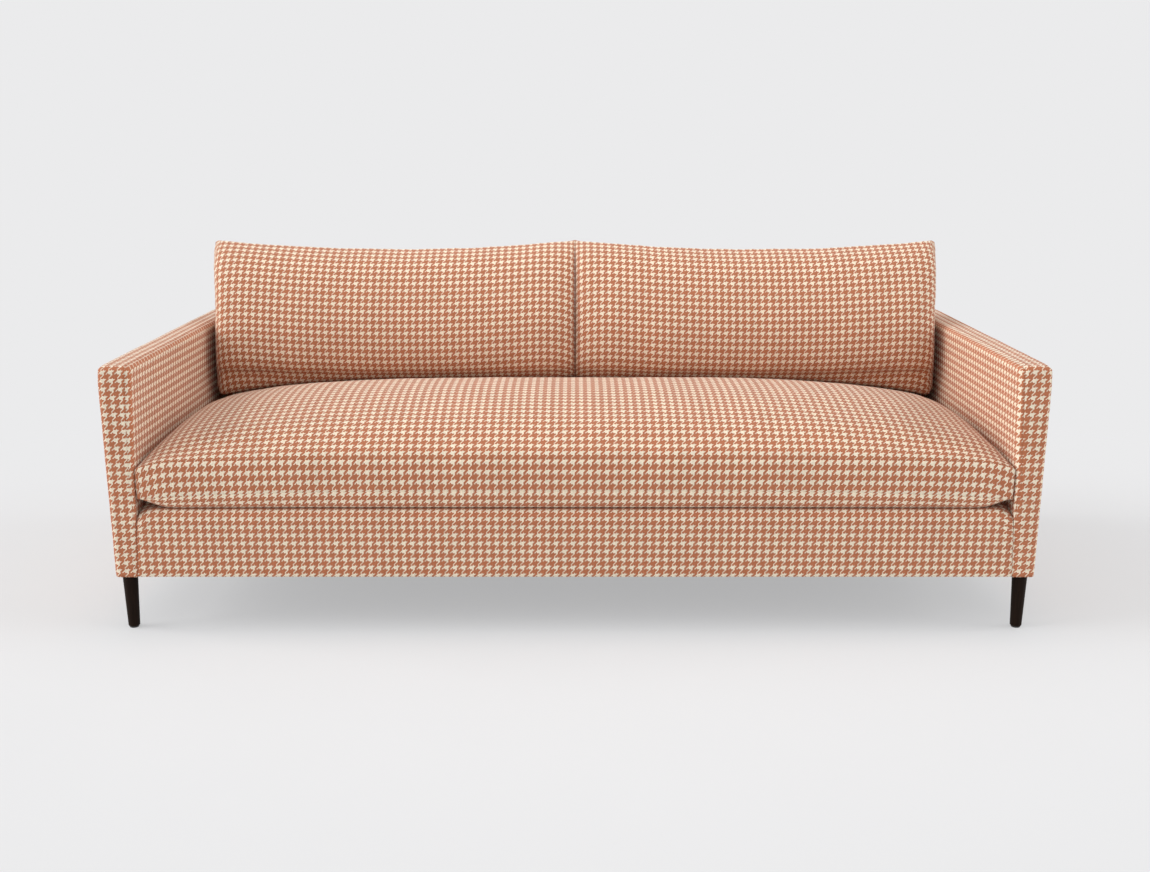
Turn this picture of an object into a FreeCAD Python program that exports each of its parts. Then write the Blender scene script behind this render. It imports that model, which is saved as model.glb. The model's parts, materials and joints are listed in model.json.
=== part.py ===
import FreeCAD, Part
import math
import os
import re

import Sketcher

# A four-seater sofa with slab arms, a single bench seat cushion and two back cushions.
# The row frame has its origin on the floor under the middle of the sofa. +X is to the sitter's
# left as seen from the front (the picture's right), +Y is towards the back and +Z is up.
# In the formulas below y is measured from the front plane of the arms, and every piece is
# moved forward by half the depth at the end.

DIMENSIONS = {
    # the whole
    "overall_width": 2180,
    "overall_depth": 990,
    "under_clearance": 141,
    "arm_height": 639,
    "cushion_top_height": 860,
    # arms
    "arm_top_thickness": 79,
    "arm_base_thickness": 53,
    "arm_outer_lean": 4,
    "arm_edge_radius": 10,
    "arm_padding_thickness": 8,
    "arm_top_padding": 12,
    "arm_panel_thickness": 3,
    "arm_post_width": 70,
    "arm_rail_thickness": 40,
    # what all the upholstery shares
    "cover_thickness": 1.5,
    "fit_gap": 0.3,
    "edge_tolerance": 0.03,
    "dust_cover_thickness": 1,
    "dust_cover_margin": 6,
    "cut_overrun": 20,
    # seat box
    "deck_height": 303,
    "deck_pad_thickness": 12,
    "rail_thickness": 24,
    "cross_rail_drop": 45,
    "cross_rail_spacing": 680,
    "corner_block_leg": 80,
    "front_padding_thickness": 10,
    "front_border_radius": 20,
    "front_border_return": 100,
    # seat springs
    "spring_count": 14,
    "spring_turns": 24,
    "spring_width": 50,
    "wire_diameter": 3.8,
    "clip_thickness": 1.2,
    "clip_width": 14,
    "clip_lip": 6,
    # back
    "back_foot_depth": 206,
    "back_setback": 56,
    "back_padding_thickness": 20,
    "back_top_padding": 10,
    "back_post_thickness": 30,
    "back_rail_thickness": 25,
    "back_edge_radius": 12,
    "webbing_thickness": 2,
    "webbing_width": 60,
    "webbing_count": 4,
    "webbing_foot_gap": 12,
    # legs
    "leg_top_diameter": 36,
    "leg_foot_diameter": 27,
    "leg_side_inset": 27,
    "leg_end_inset": 38,
    "leg_foot_chamfer": 1.5,
    "glide_diameter": 22,
    "glide_thickness": 4,
    "nail_diameter": 3,
    "nail_length": 14,
    # fasteners
    "bolt_diameter": 8,
    "bolt_head_diameter": 18,
    "bolt_head_thickness": 5,
    "bolt_rise": 70,
    "bolts_per_arm": 3,
    "bolt_end_distance": 150,
    "bolt_in_leg": 42,
    "insert_diameter": 12,
    "insert_length": 20,
    # seat cushion
    "seat_cushion_side_gap": 1,
    "seat_cushion_front_gap": 3,
    "seat_cushion_back_gap": 5,
    "seat_cushion_front_bulge": 2.5,
    "seat_band_height": 108,
    "seat_seam_rise": 14,
    "seat_crown": 116,
    "seat_corner_lift": 13,
    "seat_low_seam_rise": 32,
    "seat_low_seam_least": 12,
    "seat_low_seam_setback": 1.5,
    "seat_foot_setback": 7,
    "seat_wrap_thickness": 20,
    "filling_gap": 1,
    # back cushions
    "back_cushion_side_gap": 3,
    "back_cushion_middle_gap": 1,
    "back_cushion_rest_gap": 0.5,
    "back_cushion_foot_gap": 3,
    "back_cushion_seat_gap": 4.5,
    "back_cushion_thickness": 246,
    "back_cushion_foot_reach": 99,
    "back_cushion_top_reach": 27,
    "back_cushion_foot_lift": 35,
    "back_cushion_foot_rise": 42,
    "back_cushion_top_dip": 25,
    "back_cushion_edge_reach": 120,
    "back_cushion_edge_thickness": 6,
    "filling_channels": 6,
    # zips
    "zip_tape_width": 26,
    "zip_tape_thickness": 1,
    "zip_chain_width": 6,
    "zip_chain_thickness": 2,
    "zip_slider_width": 11,
    "zip_slider_length": 15,
    "zip_slider_thickness": 3,
    "zip_pull_length": 28,
    "zip_pull_width": 6,
    "zip_pull_thickness": 1.4,
    "seat_zip_length": 1200,
    "seat_zip_rise": 47,
    "back_zip_length": 640,
    "back_zip_rise": 16,
}

doc = FreeCAD.newDocument("sofa")
sheet = doc.addObject("Spreadsheet::Sheet", "sizes")
for row, (name, amount) in enumerate(DIMENSIONS.items(), start=1):
    sheet.set(f"A{row}", name)
    sheet.set(f"B{row}", str(amount))
    sheet.setAlias(f"B{row}", name)
doc.recompute()

pieces = []


# Formulas


def linked(formula):
    """The same formula with each dimension's name pointing into the sheet."""
    return re.sub(
        r"[a-z_]+",
        lambda word: "sizes." + word.group(0) if word.group(0) in DIMENSIONS else word.group(0),
        formula,
    )


def value(formula):
    """The number that a formula gives with the sheet's present sizes."""
    return float(sheet.evalExpression(linked(formula)))


def bind(thing, target, formula):
    thing.setExpression(target, linked(formula))


def negative(formula):
    return f"-({formula})"


FRONT = "-overall_depth / 2"
FRAME_BOTTOM = "(under_clearance + dust_cover_thickness)"
SEAT_DEPTH = "(overall_depth - back_foot_depth)"
COVER_TOP = "(deck_height - cover_thickness)"
PAD_BOTTOM = f"({COVER_TOP} - deck_pad_thickness)"
CLIP_HEIGHT = "(2 * clip_thickness + 2 * fit_gap + wire_diameter)"
RAIL_TOP = f"({PAD_BOTTOM} - {CLIP_HEIGHT})"
BACK_LAYERS = "(cover_thickness + back_padding_thickness + webbing_thickness)"
BACK_TOP = "(arm_height - cover_thickness - back_top_padding)"
BACK_REAR = "(overall_depth - cover_thickness)"
ARM_LAYERS = "(cover_thickness + arm_padding_thickness + arm_panel_thickness)"
ARM_SKIN = "(cover_thickness + arm_padding_thickness)"
ARM_TOP = "(arm_height - cover_thickness - arm_top_padding)"
FRONT_RAIL_FACE = "(cover_thickness + front_padding_thickness)"
FRONT_RAIL_BACK = f"({FRONT_RAIL_FACE} + rail_thickness)"
BOLT_HEIGHT = f"({FRAME_BOTTOM} + bolt_rise)"
SEAT_SEAM = "(deck_height + seat_band_height)"
SEAT_REAR = f"({SEAT_DEPTH} - seat_cushion_back_gap)"
SEAT_ZIP_HEIGHT = "(deck_height + seat_zip_rise)"
BACK_FOOT = f"({SEAT_SEAM} + back_cushion_foot_lift)"
BACK_ZIP_HEIGHT = f"({BACK_FOOT} + back_zip_rise)"


def arm_inner(height, inset="0"):
    """x of the arm's inner face at a height, and further into the arm by the inset."""
    taper = "(arm_top_thickness - arm_base_thickness - arm_outer_lean)"
    drop = f"(arm_height - ({height})) / (arm_height - under_clearance)"
    return f"(overall_width / 2 - arm_top_thickness + {drop} * {taper} + {inset})"


def arm_outer(height, inset="0"):
    """x of the arm's outer face at a height, and further into the arm by the inset."""
    drop = f"(arm_height - ({height})) / (arm_height - under_clearance)"
    return f"(overall_width / 2 - {drop} * arm_outer_lean - {inset})"


def between_arms_x(height):
    return f"({arm_inner(height)} - fit_gap)"


def back_face(height, inset="0"):
    """y of the inside back at a height, and further back by the inset."""
    rise = f"(({height}) - deck_height) / (arm_height - deck_height)"
    return f"({SEAT_DEPTH} + back_setback * {rise} + {inset})"


REAR_RAIL_BACK = back_face("deck_height", BACK_LAYERS)
REAR_RAIL_FACE = f"({REAR_RAIL_BACK} - rail_thickness)"
BACK_OUTER_X = f"({arm_inner('arm_height')} - back_cushion_side_gap)"
BACK_ZIP_Y = f"({back_face(BACK_ZIP_HEIGHT)} - zip_tape_width)"
SIDES = {"left": "-1", "right": "1"}


# Ways of making a piece


def keep(thing, name):
    """Name a finished piece, which becomes a file of its own."""
    thing.Label = name
    pieces.append(thing)
    return thing


def board(name, x, y, z):
    """A box between two places along each axis."""
    box = doc.addObject("Part::Box", name)
    for side, (low, high) in zip(("Length", "Width", "Height"), (x, y, z)):
        bind(box, side, f"({high}) - ({low})")
    bind(box, "Placement.Base.x", x[0])
    bind(box, "Placement.Base.y", f"{FRONT} + ({y[0]})")
    bind(box, "Placement.Base.z", z[0])
    return box


def rod(name, axis, centre, start, end, diameter):
    """A round bar along x or z, from start to end, through a centre on the other two axes."""
    bar = doc.addObject("Part::Cylinder", name)
    bind(bar, "Radius", f"({diameter}) / 2")
    bind(bar, "Height", f"({end}) - ({start})")
    if axis == "x":
        bar.Placement = FreeCAD.Placement(
            FreeCAD.Vector(0, 0, 0), FreeCAD.Rotation(FreeCAD.Vector(0, 1, 0), 90)
        )
        places = (start, centre[0], centre[1])
    else:
        places = (centre[0], centre[1], start)
    bind(bar, "Placement.Base.x", places[0])
    bind(bar, "Placement.Base.y", f"{FRONT} + ({places[1]})")
    bind(bar, "Placement.Base.z", places[2])
    return bar


def draw(body, role, outline, name):
    """A closed sketch of straight lines on one of the body's own planes."""
    sketch = body.newObject("Sketcher::SketchObject", name)
    plane = [part for part in body.Origin.OriginFeatures if part.Role == role][0]
    sketch.AttachmentSupport = [(plane, "")]
    sketch.MapMode = "FlatFace"
    corners = [FreeCAD.Vector(value(u), value(v), 0) for u, v in outline]
    count = len(corners)
    for index in range(count):
        line = Part.LineSegment(corners[index], corners[(index + 1) % count])
        sketch.addGeometry(line, False)
    for index in range(count):
        sketch.addConstraint(
            Sketcher.Constraint("Coincident", index, 2, (index + 1) % count, 1)
        )
    for index, formulas in enumerate(outline):
        for kind, formula, place in zip(("DistanceX", "DistanceY"), formulas, corners[index]):
            number = sketch.addConstraint(
                Sketcher.Constraint(kind, -1, 1, index, 1, place)
            )
            bind(sketch, f"Constraints[{number}]", formula)
    return sketch


def prism(name, role, outline, low, high, rounded=(), radius="0"):
    """An outline drawn square to one axis and padded between two places along it.

    XZ_Plane outlines give (x, z) and run along y, YZ_Plane ones give (y, z) and run along x,
    XY_Plane ones give (x, y) and run along z. The edges at the corners whose numbers are in
    rounded get a fillet.
    """
    body = doc.addObject("PartDesign::Body", name)
    sketch = draw(body, role, outline, name + "_outline")
    start = negative(high) if role == "XZ_Plane" else low
    bind(sketch, "AttachmentOffset.Base.z", start)
    pad = body.newObject("PartDesign::Pad", name + "_pad")
    pad.Profile = sketch
    bind(pad, "Length", f"({high}) - ({low})")
    doc.recompute()
    if rounded:
        body.Tip = fillet(body, pad, role, [outline[index] for index in rounded], radius)
    bind(body, "Placement.Base.y", FRONT)
    return body


def fillet(body, base, role, corners, radius):
    """Round the edges of a pad that run along it through the given corners."""
    axes = {"XZ_Plane": (0, 2), "YZ_Plane": (1, 2), "XY_Plane": (0, 1)}[role]
    places = [(value(u), value(v)) for u, v in corners]
    names = []
    for number, edge in enumerate(base.Shape.Edges, start=1):
        ends = [vertex.Point for vertex in edge.Vertexes]
        for u, v in places:
            if len(ends) == 2 and all(
                math.hypot(end[axes[0]] - u, end[axes[1]] - v) < value("edge_tolerance")
                for end in ends
            ):
                names.append(f"Edge{number}")
    rounding = body.newObject("PartDesign::Fillet", body.Name + "_rounding")
    rounding.Base = (base, names)
    bind(rounding, "Radius", radius)
    doc.recompute()
    return rounding


def turned(name, profile, centre):
    """A half profile of (radius, height) pairs turned about an upright axis."""
    body = doc.addObject("PartDesign::Body", name)
    sketch = draw(body, "XZ_Plane", profile, name + "_profile")
    turning = body.newObject("PartDesign::Revolution", name + "_turning")
    turning.Profile = sketch
    turning.ReferenceAxis = (sketch, ["V_Axis"])
    bind(body, "Placement.Base.x", centre[0])
    bind(body, "Placement.Base.y", f"{FRONT} + ({centre[1]})")
    doc.recompute()
    return body


def cut(name, base, tool):
    result = doc.addObject("Part::Cut", name)
    result.Base = base
    result.Tool = tool
    return result


def common(name, base, tool):
    result = doc.addObject("Part::Common", name)
    result.Base = base
    result.Tool = tool
    return result


def fuse(name, base, tool):
    result = doc.addObject("Part::Fuse", name)
    result.Base = base
    result.Tool = tool
    return result


def group(name, members):
    result = doc.addObject("Part::Compound", name)
    result.Links = members
    return result


def made(name, shape):
    """A piece whose shape comes from Part's own functions, in the sheet's sizes."""
    feature = doc.addObject("Part::Feature", name)
    feature.Shape = shape
    feature.Placement = FreeCAD.Placement(
        FreeCAD.Vector(0, value(FRONT), 0), FreeCAD.Rotation()
    )
    return feature


# Bolts, inserts and the holes that they pass through


def arm_bolt_places():
    """y of each bolt along an arm, evenly spaced between the two end distances."""
    gaps = "(bolts_per_arm - 1)"
    reach = f"({REAR_RAIL_FACE} - 2 * bolt_end_distance) / {gaps}"
    count = round(value("bolts_per_arm"))
    return [f"(bolt_end_distance + {number} * {reach})" for number in range(count)]


SIDE_RAIL_INNER = f"({between_arms_x(RAIL_TOP)} - rail_thickness)"
INSERT_START = f"({arm_inner(BOLT_HEIGHT, ARM_LAYERS)} + fit_gap)"
INSERT_END = f"({INSERT_START} + insert_length)"


def along_arm(name, side, start, end, diameter):
    """One bar at each arm bolt's place, from start to end outwards."""
    bars = []
    for number, place in enumerate(arm_bolt_places(), start=1):
        low, high = (start, end) if side == "right" else (negative(end), negative(start))
        centre = (place, BOLT_HEIGHT)
        bars.append(rod(f"{name}_{side}_{number}", "x", centre, low, high, diameter))
    return bars


def bolt_holes(name, side):
    inside = f"({SIDE_RAIL_INNER} - cut_overrun)"
    hole = "bolt_diameter + 2 * fit_gap"
    return group(f"{name}_{side}_holes", along_arm(name, side, inside, INSERT_START, hole))


def leg_places():
    """The name and centre of each leg."""
    ends = {"front": "leg_end_inset", "rear": "(overall_depth - leg_end_inset)"}
    return [
        (f"{end}_{side}", (f"{sign} * (overall_width / 2 - leg_side_inset)", place))
        for end, place in ends.items()
        for side, sign in SIDES.items()
    ]


def arm_bolts_and_inserts():
    bolts, inserts = [], []
    for side in SIDES:
        shanks = along_arm("arm_bolt", side, SIDE_RAIL_INNER, INSERT_END, "bolt_diameter")
        head_start = f"({SIDE_RAIL_INNER} - bolt_head_thickness)"
        heads = along_arm("bolt_head", side, head_start, SIDE_RAIL_INNER, "bolt_head_diameter")
        for number, (shank, head) in enumerate(zip(shanks, heads), start=1):
            bolts.append(fuse(f"bolt_{side}_{number}", shank, head))
        sleeves = along_arm("insert", side, INSERT_START, INSERT_END, "insert_diameter")
        bores = along_arm(
            "insert_bore", side, INSERT_START, INSERT_END, "bolt_diameter + fit_gap"
        )
        for number, (sleeve, bore) in enumerate(zip(sleeves, bores), start=1):
            inserts.append(cut(f"arm_insert_{side}_{number}", sleeve, bore))
    keep(group("arm_bolts_group", bolts), "arm_bolts")
    for name, centre in leg_places():
        top = f"({FRAME_BOTTOM} + insert_length)"
        sleeve = rod(f"leg_insert_{name}", "z", centre, FRAME_BOTTOM, top, "insert_diameter")
        bore = rod(
            f"leg_bore_{name}", "z", centre, FRAME_BOTTOM, top, "bolt_diameter + fit_gap"
        )
        inserts.append(cut(f"insert_{name}", sleeve, bore))
    keep(group("insert_group", inserts), "threaded_inserts")


# The arms


def arm_outline(sign, inset, bottom, top):
    """The arm's tapered section, inset on both faces, between two heights."""
    return [
        (f"{sign} * {arm_inner(bottom, inset)}", bottom),
        (f"{sign} * {arm_outer(bottom, inset)}", bottom),
        (f"{sign} * {arm_outer(top, inset)}", top),
        (f"{sign} * {arm_inner(top, inset)}", top),
    ]


def arm_block(name, sign, inset, top, end_inset, radius=None):
    """A solid slab of the arm's form, with its layers taken off and its edges rounded."""
    body = prism(
        name,
        "XZ_Plane",
        arm_outline(sign, inset, FRAME_BOTTOM, top),
        end_inset,
        f"(overall_depth - {end_inset})",
    )
    if radius:
        pad = body.Tip
        floor = value(FRAME_BOTTOM)
        edges = [
            f"Edge{number}"
            for number, edge in enumerate(pad.Shape.Edges, start=1)
            if max(vertex.Point.z for vertex in edge.Vertexes) > floor + value("fit_gap")
        ]
        rounding = body.newObject("PartDesign::Fillet", name + "_rounding")
        rounding.Base = (pad, edges)
        bind(rounding, "Radius", radius)
        body.Tip = rounding
        doc.recompute()
    return body


def arm(side):
    sign = SIDES[side]
    cover_top = "(arm_height - cover_thickness)"
    inner_radius = "arm_edge_radius - cover_thickness"
    outside = arm_block(f"cover_out_{side}", sign, "0", "arm_height", "0", "arm_edge_radius")
    inside = arm_block(
        f"cover_in_{side}", sign, "cover_thickness", cover_top, "cover_thickness", inner_radius
    )
    shell = cut(f"arm_shell_{side}", outside, inside)
    keep(cut(f"arm_cover_cut_{side}", shell, bolt_holes("cover", side)), f"arm_cover_{side}")

    outside = arm_block(
        f"pad_out_{side}", sign, "cover_thickness", cover_top, "cover_thickness", inner_radius
    )
    inside = arm_block(f"pad_in_{side}", sign, ARM_SKIN, ARM_TOP, ARM_SKIN)
    shell = cut(f"pad_shell_{side}", outside, inside)
    keep(cut(f"arm_pad_cut_{side}", shell, bolt_holes("pad", side)), f"arm_padding_{side}")

    ends = (ARM_SKIN, f"(overall_depth - {ARM_SKIN})")
    for face, edge in (("inner", arm_inner), ("outer", arm_outer)):
        outline = [
            (f"{sign} * {edge(FRAME_BOTTOM, ARM_SKIN)}", FRAME_BOTTOM),
            (f"{sign} * {edge(FRAME_BOTTOM, ARM_LAYERS)}", FRAME_BOTTOM),
            (f"{sign} * {edge(ARM_TOP, ARM_LAYERS)}", ARM_TOP),
            (f"{sign} * {edge(ARM_TOP, ARM_SKIN)}", ARM_TOP),
        ]
        panel = prism(f"panel_{face}_{side}", "XZ_Plane", outline, *ends)
        if face == "inner":
            panel = cut(f"inner_panel_cut_{side}", panel, bolt_holes("panel", side))
        keep(panel, f"arm_{face}_panel_{side}")

    section = arm_outline(sign, ARM_LAYERS, FRAME_BOTTOM, ARM_TOP)
    post_end = f"({ARM_SKIN} + arm_post_width)"
    post_start = f"(overall_depth - {post_end})"
    posts = {"front": (ends[0], post_end), "rear": (post_start, ends[1])}
    for name, centre in leg_places():
        end, leg_side = name.split("_")
        if leg_side != side:
            continue
        post = prism(f"post_{name}", "XZ_Plane", section, *posts[end])
        top = f"({FRAME_BOTTOM} + insert_length)"
        start = f"({FRAME_BOTTOM} - cut_overrun)"
        hole = rod(f"post_hole_{name}", "z", centre, start, top, "insert_diameter")
        keep(cut(f"post_cut_{name}", post, hole), f"arm_{end}_post_{side}")

    rail_foot = f"({ARM_TOP} - arm_rail_thickness)"
    section = arm_outline(sign, ARM_LAYERS, rail_foot, ARM_TOP)
    rail = prism(f"top_rail_{side}", "XZ_Plane", section, post_end, post_start)
    keep(rail, f"arm_top_rail_{side}")
    section = arm_outline(sign, ARM_LAYERS, FRAME_BOTTOM, RAIL_TOP)
    rail = prism(f"low_rail_{side}", "XZ_Plane", section, post_end, post_start)
    inside = f"({INSERT_START} - cut_overrun)"
    holes = along_arm("insert_hole", side, inside, INSERT_END, "insert_diameter")
    hole_group = group(f"insert_holes_{side}", holes)
    keep(cut(f"low_rail_cut_{side}", rail, hole_group), f"arm_bottom_rail_{side}")


# The seat box, its springs and its deck


def across(height):
    """The two ends of a piece that runs from arm to arm, at a height."""
    return negative(between_arms_x(height)), between_arms_x(height)


def cross_section(bottom, top):
    """A section between the arms, whose ends follow the arms' taper."""
    low_left, low_right = across(bottom)
    high_left, high_right = across(top)
    return [(low_left, bottom), (low_right, bottom), (high_right, top), (high_left, top)]


def seat_box():
    section = cross_section(FRAME_BOTTOM, RAIL_TOP)
    front = prism("front_rail", "XZ_Plane", section, FRONT_RAIL_FACE, FRONT_RAIL_BACK)
    keep(front, "seat_front_rail")
    rear = prism("rear_rail", "XZ_Plane", section, REAR_RAIL_FACE, REAR_RAIL_BACK)
    keep(rear, "seat_rear_rail")
    for side, sign in SIDES.items():
        outline = [
            (f"{sign} * {SIDE_RAIL_INNER}", FRAME_BOTTOM),
            (f"{sign} * {between_arms_x(FRAME_BOTTOM)}", FRAME_BOTTOM),
            (f"{sign} * {between_arms_x(RAIL_TOP)}", RAIL_TOP),
            (f"{sign} * {SIDE_RAIL_INNER}", RAIL_TOP),
        ]
        rail = prism(f"side_rail_{side}", "XZ_Plane", outline, FRONT_RAIL_BACK, REAR_RAIL_FACE)
        keep(cut(f"side_rail_cut_{side}", rail, bolt_holes("rail", side)), f"seat_side_rail_{side}")
        centre = f"{sign} * cross_rail_spacing / 2"
        width = (f"{centre} - rail_thickness / 2", f"{centre} + rail_thickness / 2")
        length = (FRONT_RAIL_BACK, REAR_RAIL_FACE)
        height = (FRAME_BOTTOM, f"({RAIL_TOP} - cross_rail_drop)")
        keep(board(f"cross_rail_{side}", width, length, height), f"seat_cross_rail_{side}")

    blocks = []
    for side, sign in SIDES.items():
        for end, (corner, way) in {
            "front": (FRONT_RAIL_BACK, "1"),
            "rear": (REAR_RAIL_FACE, "-1"),
        }.items():
            outline = [
                (f"{sign} * {SIDE_RAIL_INNER}", corner),
                (f"{sign} * ({SIDE_RAIL_INNER} - corner_block_leg)", corner),
                (f"{sign} * {SIDE_RAIL_INNER}", f"({corner} + {way} * corner_block_leg)"),
            ]
            top = f"({RAIL_TOP} - cross_rail_drop)"
            blocks.append(prism(f"block_{end}_{side}", "XY_Plane", outline, FRAME_BOTTOM, top))
    keep(group("corner_block_group", blocks), "corner_blocks")


WIRE_HEIGHT = f"({RAIL_TOP} + clip_thickness + fit_gap + wire_diameter / 2)"
SPRING_FRONT = f"({FRONT_RAIL_FACE} + rail_thickness / 2)"
SPRING_REAR = f"({REAR_RAIL_FACE} + rail_thickness / 2)"
SPRING_SPACING = f"(2 * {SIDE_RAIL_INNER} / spring_count)"


def spring_places():
    """x of each spring, evenly spaced between the side rails."""
    count = round(value("spring_count"))
    spacing = value(SPRING_SPACING)
    return [(number - (count - 1) / 2) * spacing for number in range(count)]


def serpentine_spring():
    """One flat wire of straight bars joined by half turns, from the front to the rear rail."""
    turns = round(value("spring_turns"))
    start = value(SPRING_FRONT)
    pitch = (value(SPRING_REAR) - start) / turns
    half_bar = (value("spring_width") - pitch) / 2
    height = value(WIRE_HEIGHT)
    edges = []
    for number in range(turns + 1):
        place = start + number * pitch
        way = 1 if number % 2 == 0 else -1
        begin = FreeCAD.Vector(-way * half_bar, place, height)
        end = FreeCAD.Vector(way * half_bar, place, height)
        edges.append(Part.LineSegment(begin, end).toShape())
        if number < turns:
            outer = FreeCAD.Vector(way * (half_bar + pitch / 2), place + pitch / 2, height)
            after = FreeCAD.Vector(way * half_bar, place + pitch, height)
            edges.append(Part.Arc(end, outer, after).toShape())
    path = Part.Wire(edges)
    first = FreeCAD.Vector(-half_bar, start, height)
    along = FreeCAD.Vector(1, 0, 0)
    section = Part.Wire([Part.makeCircle(value("wire_diameter") / 2, first, along)])
    return path.makePipeShell([section], True, False)


def springs_and_clips():
    spring = serpentine_spring()
    places = spring_places()
    springs = [spring.translated(FreeCAD.Vector(place, 0, 0)) for place in places]
    keep(made("spring_group", Part.makeCompound(springs)), "seat_springs")

    reach = "(wire_diameter / 2 + fit_gap)"
    rows = []
    for end, (line, way) in {"front": (SPRING_FRONT, "1"), "rear": (SPRING_REAR, "-1")}.items():
        back = f"({line} - {way} * ({reach} + clip_thickness))"
        wall = f"({line} - {way} * {reach})"
        lip = f"({line} + {way} * clip_lip)"
        top = f"({RAIL_TOP} + {CLIP_HEIGHT})"
        outline = [
            (back, RAIL_TOP),
            (lip, RAIL_TOP),
            (lip, f"({RAIL_TOP} + clip_thickness)"),
            (wall, f"({RAIL_TOP} + clip_thickness)"),
            (wall, f"({top} - clip_thickness)"),
            (lip, f"({top} - clip_thickness)"),
            (lip, top),
            (back, top),
        ]
        first = f"({SPRING_SPACING} * (1 - spring_count) / 2)"
        body = prism(
            f"clips_{end}",
            "YZ_Plane",
            outline,
            f"({first} - clip_width / 2)",
            f"({first} + clip_width / 2)",
        )
        row = body.newObject("PartDesign::LinearPattern", f"clip_row_{end}")
        row.Originals = [body.Tip]
        axis = [part for part in body.Origin.OriginFeatures if part.Role == "X_Axis"][0]
        row.Direction = (axis, [""])
        row.Occurrences = round(value("spring_count"))
        bind(row, "Length", f"{SPRING_SPACING} * (spring_count - 1)")
        body.Tip = row
        doc.recompute()
        rows.append(body)
    keep(group("clip_group", rows), "spring_clips")


def deck():
    width = across("deck_height")
    layers = "cover_thickness + back_padding_thickness"
    length = ("front_border_return", back_face("deck_height", layers))
    keep(board("deck_pad_board", width, length, (PAD_BOTTOM, COVER_TOP)), "deck_pad")
    keep(board("deck_cover_board", width, length, (COVER_TOP, "deck_height")), "deck_cover")


def front_border(gap_between_arms):
    width = across(FRAME_BOTTOM)
    outline = [
        ("0", FRAME_BOTTOM),
        ("0", "deck_height"),
        ("front_border_return", "deck_height"),
        ("front_border_return", FRAME_BOTTOM),
    ]
    outside = prism(
        "border_cover", "YZ_Plane", outline, *width, rounded=[1], radius="front_border_radius"
    )
    hollow = [
        ("cover_thickness", f"({FRAME_BOTTOM} - cut_overrun)"),
        ("cover_thickness", COVER_TOP),
        ("front_border_return + cut_overrun", COVER_TOP),
        ("front_border_return + cut_overrun", f"({FRAME_BOTTOM} - cut_overrun)"),
    ]
    inside = prism(
        "border_hollow", "YZ_Plane", hollow, *width,
        rounded=[1], radius="front_border_radius - cover_thickness",
    )
    skin = cut("border_skin", outside, inside)
    keep(common("border_cover_fitted", skin, gap_between_arms), "front_border_cover")

    outline = [
        ("cover_thickness", FRAME_BOTTOM),
        ("cover_thickness", COVER_TOP),
        ("front_border_return", COVER_TOP),
        ("front_border_return", PAD_BOTTOM),
        (FRONT_RAIL_FACE, PAD_BOTTOM),
        (FRONT_RAIL_FACE, FRAME_BOTTOM),
    ]
    padding = prism(
        "border_padding", "YZ_Plane", outline, *width,
        rounded=[1], radius="front_border_radius - cover_thickness",
    )
    keep(common("border_padding_fitted", padding, gap_between_arms), "front_border_padding")


# The back


def back_frame():
    post_top = f"({BACK_TOP} - back_rail_thickness)"
    outline = [
        (back_face("deck_height", BACK_LAYERS), FRAME_BOTTOM),
        (back_face("deck_height", BACK_LAYERS), "deck_height"),
        (back_face(post_top, BACK_LAYERS), post_top),
        (BACK_REAR, post_top),
        (BACK_REAR, FRAME_BOTTOM),
    ]
    edge = between_arms_x("arm_height")
    half = "back_post_thickness / 2"
    places = {
        "left": (negative(edge), f"(back_post_thickness - {edge})"),
        "middle": (negative(half), half),
        "right": (f"({edge} - back_post_thickness)", edge),
    }
    for name, place in places.items():
        keep(prism(f"post_back_{name}", "YZ_Plane", outline, *place), f"back_post_{name}")

    outline = [
        (back_face(post_top, BACK_LAYERS), post_top),
        (back_face(BACK_TOP, BACK_LAYERS), BACK_TOP),
        (BACK_REAR, BACK_TOP),
        (BACK_REAR, post_top),
    ]
    keep(prism("top_rail_back", "YZ_Plane", outline, negative(edge), edge), "back_top_rail")

    skin = "(cover_thickness + back_padding_thickness)"
    straps = []
    room = f"({post_top} - deck_height - webbing_foot_gap - webbing_width)"
    for number in range(round(value("webbing_count"))):
        low = f"(deck_height + webbing_foot_gap + {number} * {room} / (webbing_count - 1))"
        high = f"({low} + webbing_width)"
        outline = [
            (back_face(low, skin), low),
            (back_face(high, skin), high),
            (back_face(high, BACK_LAYERS), high),
            (back_face(low, BACK_LAYERS), low),
        ]
        straps.append(prism(f"strap_{number + 1}", "YZ_Plane", outline, negative(edge), edge))
    keep(group("webbing_group", straps), "back_webbing")


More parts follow.
